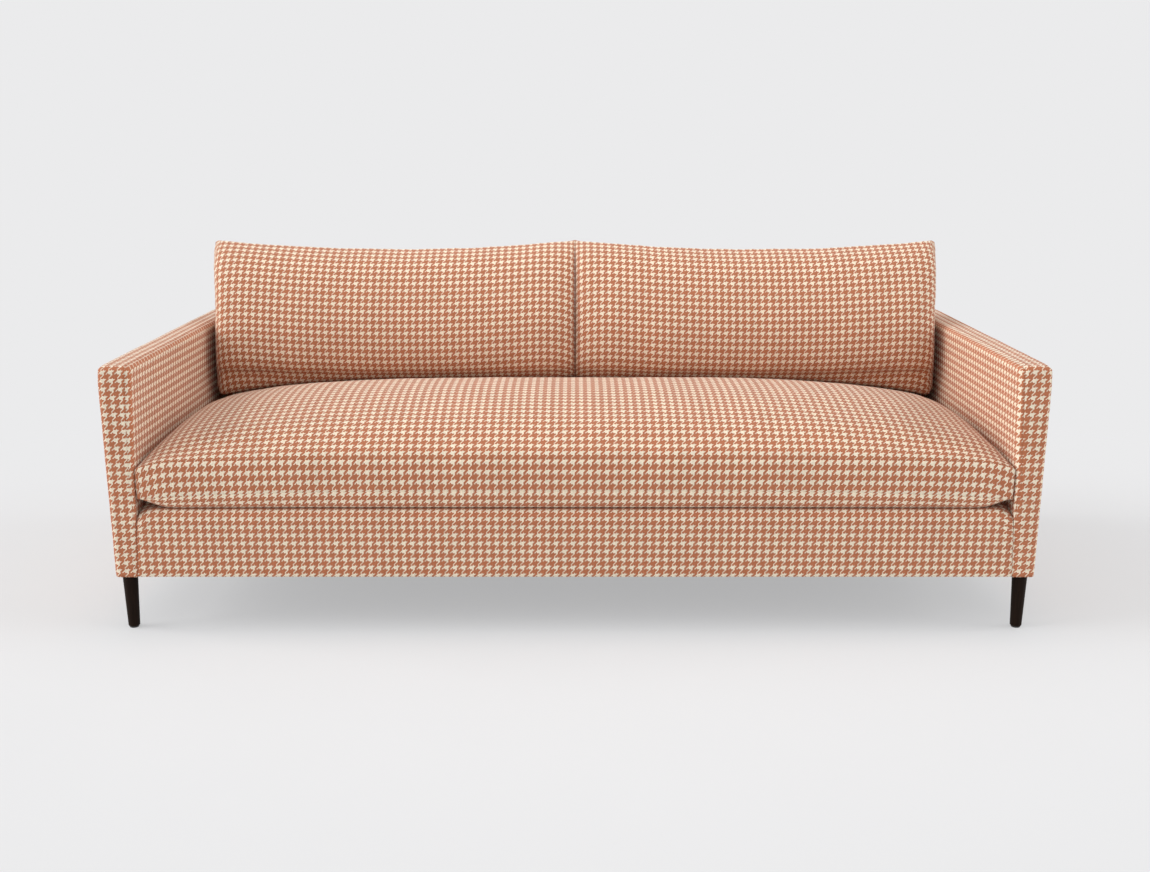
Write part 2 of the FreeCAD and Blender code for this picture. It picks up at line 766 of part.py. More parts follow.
def back_upholstery(gap_between_arms):
    width = across("deck_height")
    cover_top = "(arm_height - cover_thickness)"
    skin = "(cover_thickness + back_padding_thickness)"
    outline = [
        (back_face("deck_height", "cover_thickness"), "deck_height"),
        (back_face(cover_top, "cover_thickness"), cover_top),
        (BACK_REAR, cover_top),
        (BACK_REAR, BACK_TOP),
        (back_face(BACK_TOP, skin), BACK_TOP),
        (back_face("deck_height", skin), "deck_height"),
    ]
    padding = prism(
        "back_padding", "YZ_Plane", outline, *width,
        rounded=[1], radius="back_edge_radius - cover_thickness",
    )
    keep(common("back_padding_fitted", padding, gap_between_arms), "inside_back_padding")

    outline = [
        (back_face("deck_height"), "deck_height"),
        (back_face("arm_height"), "arm_height"),
        ("overall_depth", "arm_height"),
        ("overall_depth", "deck_height"),
    ]
    outside = prism(
        "back_cover", "YZ_Plane", outline, *width, rounded=[1], radius="back_edge_radius"
    )
    outline = [
        (back_face("deck_height - cut_overrun", "cover_thickness"), "deck_height - cut_overrun"),
        (back_face(cover_top, "cover_thickness"), cover_top),
        ("overall_depth + cut_overrun", cover_top),
        ("overall_depth + cut_overrun", "deck_height - cut_overrun"),
    ]
    inside = prism(
        "back_hollow", "YZ_Plane", outline, *width,
        rounded=[1], radius="back_edge_radius - cover_thickness",
    )
    skin_cut = cut("back_skin", outside, inside)
    keep(common("back_cover_fitted", skin_cut, gap_between_arms), "inside_back_cover")

    section = cross_section(FRAME_BOTTOM, cover_top)
    panel = prism("outside_panel", "XZ_Plane", section, BACK_REAR, "overall_depth")
    keep(panel, "outside_back_cover")


# The underside and the legs


def dust_cover():
    margin = "dust_cover_margin"
    edge = arm_outer("under_clearance", margin)
    sheet_board = board(
        "dust_sheet",
        (negative(edge), edge),
        (margin, f"(overall_depth - {margin})"),
        ("under_clearance", FRAME_BOTTOM),
    )
    holes = [
        rod(
            f"dust_hole_{name}",
            "z",
            centre,
            "(under_clearance - cut_overrun)",
            f"({FRAME_BOTTOM} + cut_overrun)",
            "leg_top_diameter + 2 * fit_gap",
        )
        for name, centre in leg_places()
    ]
    keep(cut("dust_cover_cut", sheet_board, group("dust_holes", holes)), "dust_cover")


def legs():
    nail = "(nail_diameter / 2 + fit_gap)"
    bolt = "(bolt_diameter / 2 + fit_gap)"
    foot = "leg_foot_diameter / 2"
    nail_top = "(glide_thickness + nail_length + fit_gap)"
    bolt_foot = f"({FRAME_BOTTOM} - bolt_in_leg - fit_gap)"
    leg_profile = [
        (nail, "glide_thickness"),
        (f"({foot} - leg_foot_chamfer)", "glide_thickness"),
        (foot, "(glide_thickness + leg_foot_chamfer)"),
        ("leg_top_diameter / 2", FRAME_BOTTOM),
        (bolt, FRAME_BOTTOM),
        (bolt, bolt_foot),
        ("0", bolt_foot),
        ("0", nail_top),
        (nail, nail_top),
    ]
    glide_profile = [
        ("0", "0"),
        ("(glide_diameter / 2 - glide_thickness / 4)", "0"),
        ("glide_diameter / 2", "glide_thickness / 4"),
        ("glide_diameter / 2", "glide_thickness"),
        ("nail_diameter / 2", "glide_thickness"),
        ("nail_diameter / 2", "(glide_thickness + nail_length)"),
        ("0", "(glide_thickness + nail_length)"),
    ]
    glides, bolts = [], []
    for name, centre in leg_places():
        keep(turned(f"leg_{name}", leg_profile, centre), f"leg_{name}")
        glides.append(turned(f"glide_{name}", glide_profile, centre))
        low = f"({FRAME_BOTTOM} - bolt_in_leg)"
        high = f"({FRAME_BOTTOM} + insert_length)"
        bolts.append(rod(f"leg_bolt_{name}", "z", centre, low, high, "bolt_diameter"))
    keep(group("glide_group", glides), "leg_glides")
    keep(group("leg_bolt_group", bolts), "leg_bolts")


# Soft forms: each is a loft through upright sections of lines and shallow arcs

LEAST_SPREAD_SHARE = 0.15


def offset_inwards(points, distance):
    """Move each corner of a closed section inwards, so that its two sides move by the distance.

    A very sharp corner moves less, or it would run away from the edge that it belongs to."""
    moved = []
    for index, point in enumerate(points):
        before, after = points[index - 1], points[(index + 1) % len(points)]
        normals = []
        for start, end in ((before, point), (point, after)):
            length = math.dist(start, end)
            normals.append(((end[1] - start[1]) / length, (start[0] - end[0]) / length))
        (first_y, first_z), (next_y, next_z) = normals
        spread = 1 + first_y * next_y + first_z * next_z
        scale = distance / max(spread, LEAST_SPREAD_SHARE)
        moved.append((point[0] + scale * (first_y + next_y), point[1] + scale * (first_z + next_z)))
    return moved


def section_wire(x, points, kinds):
    """A closed wire at x. Each kind takes one edge: a line to the next point, or an arc
    through the next point to the one after it."""
    corners = [FreeCAD.Vector(x, y, z) for y, z in points]
    corners.append(corners[0])
    edges = []
    index = 0
    for kind in kinds:
        if kind == "line":
            edges.append(Part.LineSegment(corners[index], corners[index + 1]).toShape())
            index += 1
        else:
            arc = Part.Arc(corners[index], corners[index + 1], corners[index + 2])
            edges.append(arc.toShape())
            index += 2
    return Part.Wire(edges)


# Where the seat's crown profile passes, as shares of the cushion's depth and of its crown.
# Every second point is the middle of an arc. The rear third is pressed flat by the back
# cushions that rest on it.
SEAT_PROFILE_SHARES = [
    (0.064, 0.483),
    (0.184, 0.819),
    (0.338, 0.991),
    (0.506, 1.0),
    (0.68, 0.922),
    (0.822, 0.672),
    (0.911, 0.345),
]
PRESSED_FRONT = 5
PRESSED_MIDDLE = 6
SEAT_KINDS = ["arc", "arc", "arc", "arc", "arc", "line", "line"]
# How far the middle of the roll under the lower seam lies towards that seam.
ROLL_HEIGHT_SHARE = 0.45
ROLL_SETBACK_SHARE = 0.25
# Stations from the middle to an end, as shares of the half width, and how steeply the crown
# falls towards the arms.
SEAT_STATION_SHARES = [0, 0.35, 0.6, 0.78, 0.88, 0.94, 0.975, 0.992, 1]
CROWN_POWER_SHARE = 3.6
LIFT_POWER_SHARE = 3
LEAST_CROWN_SHARE = 0.04
LEAST_BULGE_SHARE = 0.07


def crown_share(station):
    """How much of the full crown is left at a station."""
    share = math.sqrt(max(0, 1 - abs(station) ** CROWN_POWER_SHARE))
    return max(LEAST_CROWN_SHARE, share)


def seat_half_width():
    return value(f"{arm_inner(SEAT_SEAM)} - seat_cushion_side_gap")


def seat_front():
    return value("seat_cushion_front_gap")


def seat_rear():
    return value(SEAT_REAR)


def seat_point(station, index):
    """A point of the seat's crown at a station: y and z."""
    share = crown_share(station)
    depth_share, height_share = SEAT_PROFILE_SHARES[index]
    seam = value(SEAT_SEAM) + share * value("seat_seam_rise")
    y = seat_front() + depth_share * (seat_rear() - seat_front())
    return y, seam + share * height_share * value("seat_crown")


def seat_section(station, has_low_seam):
    """The seat cushion's section at a station, with its lower seam and the roll below that."""
    share = crown_share(station)
    front, rear = seat_front(), seat_rear()
    bulge = front - value("seat_cushion_front_bulge")
    lift = value("seat_corner_lift") * (1 - share) ** LIFT_POWER_SHARE
    bottom = value("deck_height + fit_gap") + lift
    seam = value(SEAT_SEAM) + share * value("seat_seam_rise")
    if has_low_seam:
        rise = value("seat_low_seam_least") + share * value("seat_low_seam_rise")
        low_seam = front + value("seat_low_seam_setback")
        foot = front + value("seat_foot_setback")
        roll = low_seam + ROLL_SETBACK_SHARE * (foot - low_seam)
        points = [
            (foot, bottom),
            (roll, bottom + ROLL_HEIGHT_SHARE * rise),
            (low_seam, bottom + rise),
            (bulge, (bottom + rise + seam) / 2),
        ]
    else:
        points = [(front, bottom), (bulge, (bottom + seam) / 2)]
    points.append((front, seam))
    points += [seat_point(station, index) for index in range(len(SEAT_PROFILE_SHARES))]
    points += [(rear, seam), (rear, bottom)]
    return points


def mirrored_stations(shares):
    return [-share for share in reversed(shares[1:])] + list(shares)


def seat_loft(inset, has_low_seam):
    half = seat_half_width()
    kinds = ["arc"] + SEAT_KINDS if has_low_seam else SEAT_KINDS
    wires = []
    for station in mirrored_stations(SEAT_STATION_SHARES):
        points = seat_section(station, has_low_seam)
        if inset:
            points = offset_inwards(points, inset)
        wires.append(section_wire(station * (half - inset), points, kinds))
    return Part.makeLoft(wires, True, False)


def zip_and_slider(name, body_name, x, length, face, lies_flat):
    """A zip tape with its chain, and the slider that runs along it.

    The tape lies on the cushion's face: upright at a place along y, or flat at a height."""
    tape_start = "fit_gap"
    tape_end = "(fit_gap + zip_tape_thickness)"
    chain_end = f"({tape_end} + zip_chain_thickness)"
    slider_start = f"({chain_end} + fit_gap)"
    slider_end = f"({slider_start} + zip_slider_thickness)"
    pull_start = f"({slider_end} + fit_gap)"
    pull_end = f"({pull_start} + zip_pull_thickness)"
    y_face, z_face = face

    def strip(label, span, width, low, high):
        if lies_flat:
            y = (f"({y_face} - {width} / 2)", f"({y_face} + {width} / 2)")
            z = (f"({z_face} - {high})", f"({z_face} - {low})")
        else:
            y = (f"({y_face} + {low})", f"({y_face} + {high})")
            z = (f"({z_face} - {width} / 2)", f"({z_face} + {width} / 2)")
        return board(label, span, y, z)

    ends = (f"({x} - {length} / 2)", f"({x} + {length} / 2)")
    tape = strip(name + "_tape", ends, "zip_tape_width", tape_start, tape_end)
    chain = strip(name + "_chain", ends, "zip_chain_width", tape_end, chain_end)
    keep(fuse(name + "_zip", tape, chain), f"{body_name}_zip")

    closed = f"({x} + {length} / 2 - zip_slider_length)"
    body_span = (closed, f"({closed} + zip_slider_length)")
    bridge_span = (
        f"({closed} + zip_slider_length / 4)",
        f"({closed} + zip_slider_length / 2)",
    )
    pull_span = (
        f"({closed} + zip_slider_length / 2 - zip_pull_length)",
        f"({closed} + zip_slider_length / 2)",
    )
    slider = strip(name + "_slider", body_span, "zip_slider_width", slider_start, slider_end)
    bridge = strip(name + "_bridge", bridge_span, "zip_pull_width / 2", slider_end, pull_start)
    pull = strip(name + "_pull", pull_span, "zip_pull_width", pull_start, pull_end)
    whole = fuse(name + "_runner", fuse(name + "_runner_neck", slider, bridge), pull)
    keep(whole, f"{body_name}_zip_slider")


def seat_cushion():
    cover = value("cover_thickness")
    gap = value("fit_gap")
    wrap = value("seat_wrap_thickness")
    shell = seat_loft(0, True).cut(seat_loft(cover, True))
    keep(made("seat_shell", shell), "seat_cushion_cover")
    fibre = seat_loft(cover + gap, True).cut(seat_loft(cover + gap + wrap, False))
    keep(made("seat_fibre", fibre), "seat_cushion_wrap")
    foam = seat_loft(cover + gap + wrap + value("filling_gap"), False)
    keep(made("seat_foam", foam), "seat_cushion_core")
    face = (SEAT_REAR, SEAT_ZIP_HEIGHT)
    zip_and_slider("seat", "seat_cushion", "0", "seat_zip_length", face, False)


# Where a back cushion's full section passes. The front and rear bulges are shares of half
# the cushion's thickness, off the line that joins its foot and top seams, and the heights
# are shares of the distance between those seams. The third value is where the same point
# lies along the seam at an end of the cushion.
BACK_BULGE_SHARES = {
    "front_low": (-0.78, 0.256, 0.22),
    "front_full": (-1.0, 0.44, 0.42),
    "front_high": (-0.80, 0.725, 0.72),
    "rear_high": (0.62, 0.77, 0.76),
}
BACK_FLAT_TOP_SHARE = 0.505
BACK_FLAT_FOOT_SHARE = 0.09
BACK_KINDS = ["arc", "arc", "arc", "line", "arc", "line", "arc"]
# Where the points of the pressed foot and the flat back lie along the seam at an end.
FOOT_SEAM_SHARES = {
    "press": 0.1,
    "flat_top": 0.5,
    "flat_foot": 0.14,
    "corner": 0.09,
    "zip_rear": 0.04,
    "zip_front": 0,
    "under": 0.04,
}
ZIP_FACE_SHARE = 0.6
# How far the corner behind the zip lies towards the flat back.
CORNER_Y_SHARE = 0.75
CORNER_Z_SHARE = 0.25
# Stations inwards from each end, as shares of the reach over which a side curves away.
BACK_STATION_SHARES = [0, 0.05, 0.15, 0.3, 0.5, 0.75, 1, 1.3, 1.8, 2.6]


def back_section(x, edge_share, foot_rise):
    """A back cushion's section at x. Its edge share is 0 at an end and 1 in the full part."""
    foot_y = value(f"{SEAT_DEPTH} - back_cushion_foot_reach")
    top_y = value(f"{SEAT_DEPTH} - back_cushion_top_reach")
    low = value(BACK_FOOT)
    foot = low + foot_rise
    highest = value("cushion_top_height")
    dip = value("back_cushion_top_dip")
    outer = back_outer_x()
    inner = value("back_cushion_middle_gap") / 2
    across_share = (2 * abs(x) - outer - inner) / (outer - inner)
    top = highest - dip * (1 - across_share**2)
    seam_height = highest - low
    half_thickness = value("back_cushion_thickness") / 2
    edge_half = value("back_cushion_edge_thickness") / 2
    bulge = max(LEAST_BULGE_SHARE, math.sqrt(1 - (1 - min(1, edge_share)) ** 2))

    def seam_y(z):
        return foot_y + (top_y - foot_y) * (z - low) / seam_height

    def blended(full, along, side):
        z_edge = foot + along * (top - foot)
        y_edge = seam_y(z_edge) + side * edge_half
        return (
            y_edge + bulge * (full[0] - y_edge),
            z_edge + bulge * (full[1] - z_edge),
        )

    def bulged(name):
        offset, height, along = BACK_BULGE_SHARES[name]
        z = low + height * seam_height
        full = (seam_y(z) + offset * half_thickness, z)
        return blended(full, along, 1 if offset > 0 else -1)

    def on_back(height, name, gap):
        z = low + height * seam_height
        y = value(back_face(str(z))) - value(gap)
        return blended((y, z), FOOT_SEAM_SHARES[name], 1)

    station = x / seat_half_width()
    gap = value("back_cushion_seat_gap")
    press_y, press_z = seat_point(station, PRESSED_FRONT)
    middle_y, middle_z = seat_point(station, PRESSED_MIDDLE)
    under = value(BACK_ZIP_HEIGHT)
    reach = value("zip_tape_width") * ZIP_FACE_SHARE
    flat_front = (back_zip_y() - reach, under)
    flat_rear = (back_zip_y() + reach, under)
    flat_foot = low + BACK_FLAT_FOOT_SHARE * seam_height
    foot_corner_y = value(back_face(str(flat_foot))) - value("back_cushion_foot_gap")
    corner = (
        flat_rear[0] + CORNER_Y_SHARE * (foot_corner_y - flat_rear[0]),
        under + CORNER_Z_SHARE * (flat_foot - under),
    )
    along = FOOT_SEAM_SHARES
    return [
        blended((press_y + gap, press_z + gap), along["press"], -1),
        bulged("front_low"),
        bulged("front_full"),
        bulged("front_high"),
        (seam_y(top), top),
        bulged("rear_high"),
        on_back(BACK_FLAT_TOP_SHARE, "flat_top", "back_cushion_rest_gap"),
        on_back(BACK_FLAT_FOOT_SHARE, "flat_foot", "back_cushion_foot_gap"),
        blended(corner, along["corner"], 1),
        blended(flat_rear, along["zip_rear"], 1),
        blended(flat_front, along["zip_front"], 0),
        blended((middle_y, middle_z + 2 * gap), along["under"], -1),
    ]


def back_outer_x():
    return value(BACK_OUTER_X)


def back_zip_y():
    """y of the zip, under the rear of the cushion."""
    return value(BACK_ZIP_Y)


def back_loft(side, inset):
    sign = float(SIDES[side])
    outer, inner = back_outer_x(), value("back_cushion_middle_gap") / 2
    reach = value("back_cushion_edge_reach")
    rise = value("back_cushion_foot_rise")
    places = []
    for share in BACK_STATION_SHARES:
        places.append((inner + share * reach, share))
        places.append((outer - share * reach, share))
    places.append(((outer + inner) / 2, 1))
    middle = (outer + inner) / 2
    wires = []
    for place, share in sorted(places):
        foot_rise = rise * (outer - place) / (outer - inner)
        points = back_section(place, share, foot_rise)
        if inset:
            points = offset_inwards(points, inset)
        shrunk = middle + (place - middle) * (1 - 2 * inset / (outer - inner))
        wires.append(section_wire(sign * shrunk, points, BACK_KINDS))
    if sign < 0:
        wires.reverse()
    return Part.makeLoft(wires, True, False)


def channelled(filling):
    """The filling in upright channels side by side, as a sewn inner keeps it."""
    box = filling.BoundBox
    count = round(value("filling_channels"))
    gap, overrun = value("fit_gap"), value("cut_overrun")
    height = box.ZLength + 2 * overrun
    walls = []
    for number in range(1, count):
        place = box.XMin + number * box.XLength / count - gap / 2
        corner = FreeCAD.Vector(place, box.YMin - overrun, box.ZMin - overrun)
        walls.append(Part.makeBox(gap, box.YLength + 2 * overrun, height, corner))
    return filling.cut(Part.makeCompound(walls))


def back_cushion(side):
    cover = value("cover_thickness")
    gap = value("filling_gap")
    shell = back_loft(side, 0).cut(back_loft(side, cover))
    keep(made(f"back_shell_{side}", shell), f"back_cushion_{side}_cover")
    filling = channelled(back_loft(side, cover + gap))
    keep(made(f"back_fill_{side}", filling), f"back_cushion_{side}_filling")
    middle = f"(({BACK_OUTER_X} + back_cushion_middle_gap / 2) / 2)"
    face = (BACK_ZIP_Y, BACK_ZIP_HEIGHT)
    centre = f"{SIDES[side]} * {middle}"
    zip_and_slider(f"back_{side}", f"back_cushion_{side}", centre, "back_zip_length", face, True)


# Build the whole


gap_between_arms = prism(
    "gap_between_arms",
    "XZ_Plane",
    cross_section(FRAME_BOTTOM, "arm_height"),
    "0",
    "overall_depth",
)
for side in SIDES:
    arm(side)
seat_box()
springs_and_clips()
deck()
front_border(gap_between_arms)
back_frame()
back_upholstery(gap_between_arms)
dust_cover()
legs()
arm_bolts_and_inserts()
seat_cushion()
for side in SIDES:
    back_cushion(side)

doc.recompute()
for thing in doc.Objects:
    if "Invalid" in thing.State or "Error" in thing.State:
        raise RuntimeError(f"{thing.Label} failed: {thing.State}")
os.makedirs("parts", exist_ok=True)
for piece in pieces:
    if piece.Shape.isNull() or not piece.Shape.isValid():
        raise RuntimeError(f"{piece.Label} has no valid shape")
    piece.Shape.exportStep(f"parts/{piece.Label}.step")
print(len(pieces), "pieces written")
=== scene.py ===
import json
import math
from itertools import accumulate

import bmesh
import bpy
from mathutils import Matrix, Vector, noise


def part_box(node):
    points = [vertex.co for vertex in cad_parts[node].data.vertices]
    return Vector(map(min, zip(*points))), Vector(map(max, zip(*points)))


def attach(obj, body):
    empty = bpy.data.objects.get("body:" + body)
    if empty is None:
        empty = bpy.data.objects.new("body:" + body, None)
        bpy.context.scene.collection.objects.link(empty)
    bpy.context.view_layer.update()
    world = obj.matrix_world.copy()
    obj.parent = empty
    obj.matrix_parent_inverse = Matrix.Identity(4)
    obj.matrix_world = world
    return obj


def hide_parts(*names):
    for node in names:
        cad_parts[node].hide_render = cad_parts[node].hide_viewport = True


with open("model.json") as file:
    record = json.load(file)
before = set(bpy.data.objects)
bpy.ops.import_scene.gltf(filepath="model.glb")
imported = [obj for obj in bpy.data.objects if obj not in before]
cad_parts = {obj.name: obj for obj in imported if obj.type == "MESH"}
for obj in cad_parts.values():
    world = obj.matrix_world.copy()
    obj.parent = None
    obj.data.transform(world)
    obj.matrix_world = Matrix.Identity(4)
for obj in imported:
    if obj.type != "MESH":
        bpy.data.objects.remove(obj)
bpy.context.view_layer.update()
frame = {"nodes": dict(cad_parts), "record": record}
scene = bpy.context.scene

MM = 0.001
WEAVE_UV = "weave"
QUARTER = math.pi / 2

# Sizes of the sofa, in millimetres. Heights are above the floor, depths behind the arms' fronts.
WIDTH, DEPTH = 2180.0, 990.0
BOTTOM, DECK, ARM_HEIGHT = 138.5, 303.0, 643.0
FRAME_TOP, FRAME_LOW = 639.0, 141.0
ARM_TOP_WIDTH, ARM_BASE_WIDTH, ARM_LEAN = 79.0, 53.0, 4.0
ARM_RADIUS, CRISP_RADIUS = 13.0, 4.0
ARM_TOP = ARM_HEIGHT - ARM_RADIUS
SEAT_DEPTH, BACK_SETBACK = 784.0, 56.0
DECK_FRONT, DECK_REAR = 100.0, 805.0
LEG_X, LEG_Y, LEG_HOLE, LEG_PATCH = 1063.0, 457.0, 18.3, 60.0
DUST_SHEET, DUST_INSET = BOTTOM - 0.4, 6.0
REPEAT = 19.84
THREAD = REPEAT * MM / 8
# A distance from the nearest seam at which no seam tells.
FAR = 1000.0


# Curves, grids and cloth


def clamp(value):
    return min(1.0, max(0.0, value))


def fade(distance, reach):
    """1 at no distance, falling to 0 at reach and beyond."""
    return max(0.0, 1 - distance / reach)


def bell(distance, width):
    return math.exp(-(distance / width) ** 2)


def smooth(points, steps):
    """A smooth line through the points, with some steps between each two."""
    line, last = [], len(points) - 1
    for index in range(last):
        near = [points[min(max(index + k, 0), last)] for k in (-1, 0, 1, 2)]
        for step in range(steps):
            t = step / steps
            line.append(tuple(
                0.5 * (2 * q + (r - p) * t + (2 * p - 5 * q + 4 * r - s) * t * t
                       + (3 * q - p - 3 * r + s) * t ** 3)
                for p, q, r, s in zip(*near)
            ))
    line.append(tuple(points[-1]))
    return line


def lengths(line):
    """How far along the line each of its points lies."""
    return list(accumulate(map(math.dist, line, line[1:]), initial=0.0))


def between(table, x):
    """A value read from a table of (place, value) pairs."""
    if x <= table[0][0]:
        return table[0][1]
    for (x0, y0), (x1, y1) in zip(table, table[1:]):
        if x <= x1:
            return y0 + (y1 - y0) * ((x - x0) / (x1 - x0))
    return table[-1][1]


def spread(length, step, both_ends=True):
    """Shares of a length about a step apart, closer beside the seam at one end or at both."""
    near = (1.5, 3.5, 7.0)
    places = {0.0, length, *near}
    low, high = near[-1], length
    if both_ends:
        places.update(length - offset for offset in near)
        high -= near[-1]
    count = max(2, round((high - low) / step))
    places.update(low + (high - low) * k / count for k in range(1, count))
    return [place / length for place in sorted(places)]


def add_to_scene(name, data):
    thing = bpy.data.objects.new(name, data)
    scene.collection.objects.link(thing)
    return thing


def weld(mesh, reach, more):
    """Joins points within reach of each other, in millimetres, then does one more operation."""
    work = bmesh.new()
    work.from_mesh(mesh)
    bmesh.ops.remove_doubles(work, verts=work.verts, dist=reach * MM)
    more(work)
    work.to_mesh(mesh)
    work.free()


class Form:
    """A mesh made of grids, each with its own place in the cloth."""

    def __init__(self):
        self.cells, self.faces = [], []

    def grid(self, rows, flip=False):
        """Each cell of a row is a place, its (u, v) in the cloth and how far the nearest seam is,
        all in millimetres."""
        start, wide = len(self.cells), len(rows[0])
        self.cells += [cell for row in rows for cell in row]
        for low in range(start, len(self.cells) - wide, wide):
            for k in range(low, low + wide - 1):
                ring = [k, k + 1, k + 1 + wide, k + wide]
                self.faces.append(ring[::-1] if flip else ring)
        return self

    def build(self, name, reach=0.05):
        mesh = bpy.data.meshes.new(name)
        mesh.from_pydata([(x * MM, (y - DEPTH / 2) * MM, z * MM)
                          for (x, y, z), uv, seam in self.cells], [], self.faces)
        mesh.uv_layers.new(name=WEAVE_UV).data.foreach_set(
            "uv", [value * MM for ring in self.faces for k in ring for value in self.cells[k][1]])
        mesh.attributes.new("seam", "FLOAT", "POINT").data.foreach_set(
            "value", [seam for place, uv, seam in self.cells])
        weld(mesh, reach, lambda work: bmesh.ops.dissolve_degenerate(
            work, edges=work.edges, dist=0.001 * MM))
        mesh.polygons.foreach_set("use_smooth", [True] * len(mesh.polygons))
        return add_to_scene(name, mesh)


def sofa_mm(co):
    """A mesh point as (side, depth behind the arms' fronts, height) in millimetres."""
    x, y, z = co / MM
    return x, y + DEPTH / 2, z


# The groove along a seam, the ridge beside it and how far its puckers reach.
GROOVE_WIDTH, RIDGE_PLACE, RIDGE_WIDTH, RIDGE_SHARE = 2.2, 6.0, 4.0, 0.45
PUCKER_REACH = 14.0


def soften(thing, groove, pucker, waves, keep=None):
    """Sinks the seams, gathers the cloth beside them and lets the padding under it roll."""
    mesh = thing.data
    seam = mesh.attributes["seam"].data
    moved = []
    for vertex in mesh.vertices:
        place = vertex.co / MM
        away = seam[vertex.index].value
        out = (-groove * bell(away, GROOVE_WIDTH)
               + RIDGE_SHARE * groove * bell(away - RIDGE_PLACE, RIDGE_WIDTH))
        gather = noise.noise(place / 13.0) + 0.6 * noise.noise(place / 27.0 + Vector((7, 3, 5)))
        out += pucker * gather * math.exp(-away / PUCKER_REACH)
        for index, (size, height) in enumerate(waves):
            out += height * noise.noise(place / size + Vector((31 * index, 17, 5)))
        share = keep(*sofa_mm(vertex.co)) if keep else 1.0
        moved.append(vertex.co + vertex.normal * out * share * MM)
    for vertex, place in zip(mesh.vertices, moved):
        vertex.co = place
    mesh.update()


CLOTH = {
    "quality": 4, "mass": 0.4, "tension_stiffness": 20, "compression_stiffness": 20,
    "shear_stiffness": 8, "bending_stiffness": 1.5, "use_pressure": True,
    "uniform_pressure_force": 4, "vertex_group_mass": "held",
}
CLOTH_FRAMES, CLOTH_CAP, HELD_REACH = 20, 5.0, 6.0


def puff(thing, keep):
    """Blows the case up a little as cloth, with its seams held, and moves it there, capped."""
    trial = add_to_scene("trial", thing.data.copy())
    held = trial.vertex_groups.new(name="held")
    seam = trial.data.attributes["seam"].data
    for vertex in trial.data.vertices:
        weight = bell(seam[vertex.index].value, HELD_REACH)
        if weight > 0.02:
            held.add([vertex.index], weight, "REPLACE")
    cloth = trial.modifiers.new("cloth", "CLOTH")
    for key, value in CLOTH.items():
        setattr(cloth.settings, key, value)
    cloth.settings.effector_weights.gravity = 0
    cloth.collision_settings.use_collision = False
    cloth.point_cache.frame_start, cloth.point_cache.frame_end = 1, CLOTH_FRAMES
    for number in range(1, CLOTH_FRAMES + 1):
        scene.frame_set(number)
    settled = trial.evaluated_get(bpy.context.evaluated_depsgraph_get()).data
    for vertex, other in zip(thing.data.vertices, settled.vertices):
        move = (other.co - vertex.co) * keep(*sofa_mm(vertex.co))
        if move.length > CLOTH_CAP * MM:
            move.length = CLOTH_CAP * MM
        vertex.co += move
    bpy.data.meshes.remove(trial.data)  # and the trial with it
    scene.frame_set(1)


def dress(thing, slot, body, *replaced):
    """Gives a piece its finish and its body, and hides the solids that it stands for."""
    thing.data.materials.append(finishes[slot])
    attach(thing, body)
    if replaced:
        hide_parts(*replaced)


def finish_cushion(form, reach, body, inside, groove, pucker, waves, keep):
    """Makes a sewn case of a form: puffed, refined, softened and dressed."""
    thing = form.build(f"{body}_case", reach)
    puff(thing, keep)
    thing.modifiers.new("finer", "SUBSURF").levels = 1
    coarse = thing.data
    thing.data = bpy.data.meshes.new_from_object(
        thing.evaluated_get(bpy.context.evaluated_depsgraph_get()))
    thing.modifiers.clear()
    bpy.data.meshes.remove(coarse)
    soften(thing, groove, pucker, waves, keep)
    dress(thing, "houndstooth_fabric", body, f"{body}_cover", f"{body}_{inside}")


def frame_drop(z):
    """How far down the frame a height lies, as a share."""
    return (FRAME_TOP - z) / (FRAME_TOP - FRAME_LOW)


def arm_inner(z):
    return (WIDTH / 2 - ARM_TOP_WIDTH
            + frame_drop(z) * (ARM_TOP_WIDTH - ARM_BASE_WIDTH - ARM_LEAN))


def arm_outer(z):
    return WIDTH / 2 - frame_drop(z) * ARM_LEAN


def back_face(z):
    return SEAT_DEPTH + BACK_SETBACK * (z - DECK) / (FRAME_TOP - DECK)


# Materials


def linear(*colour):
    """An everyday 0 to 255 colour as the renderer's own values."""
    return tuple(v / 255 / 12.92 if v <= 10.3 else ((v / 255 + 0.055) / 1.055) ** 2.4
                 for v in colour)


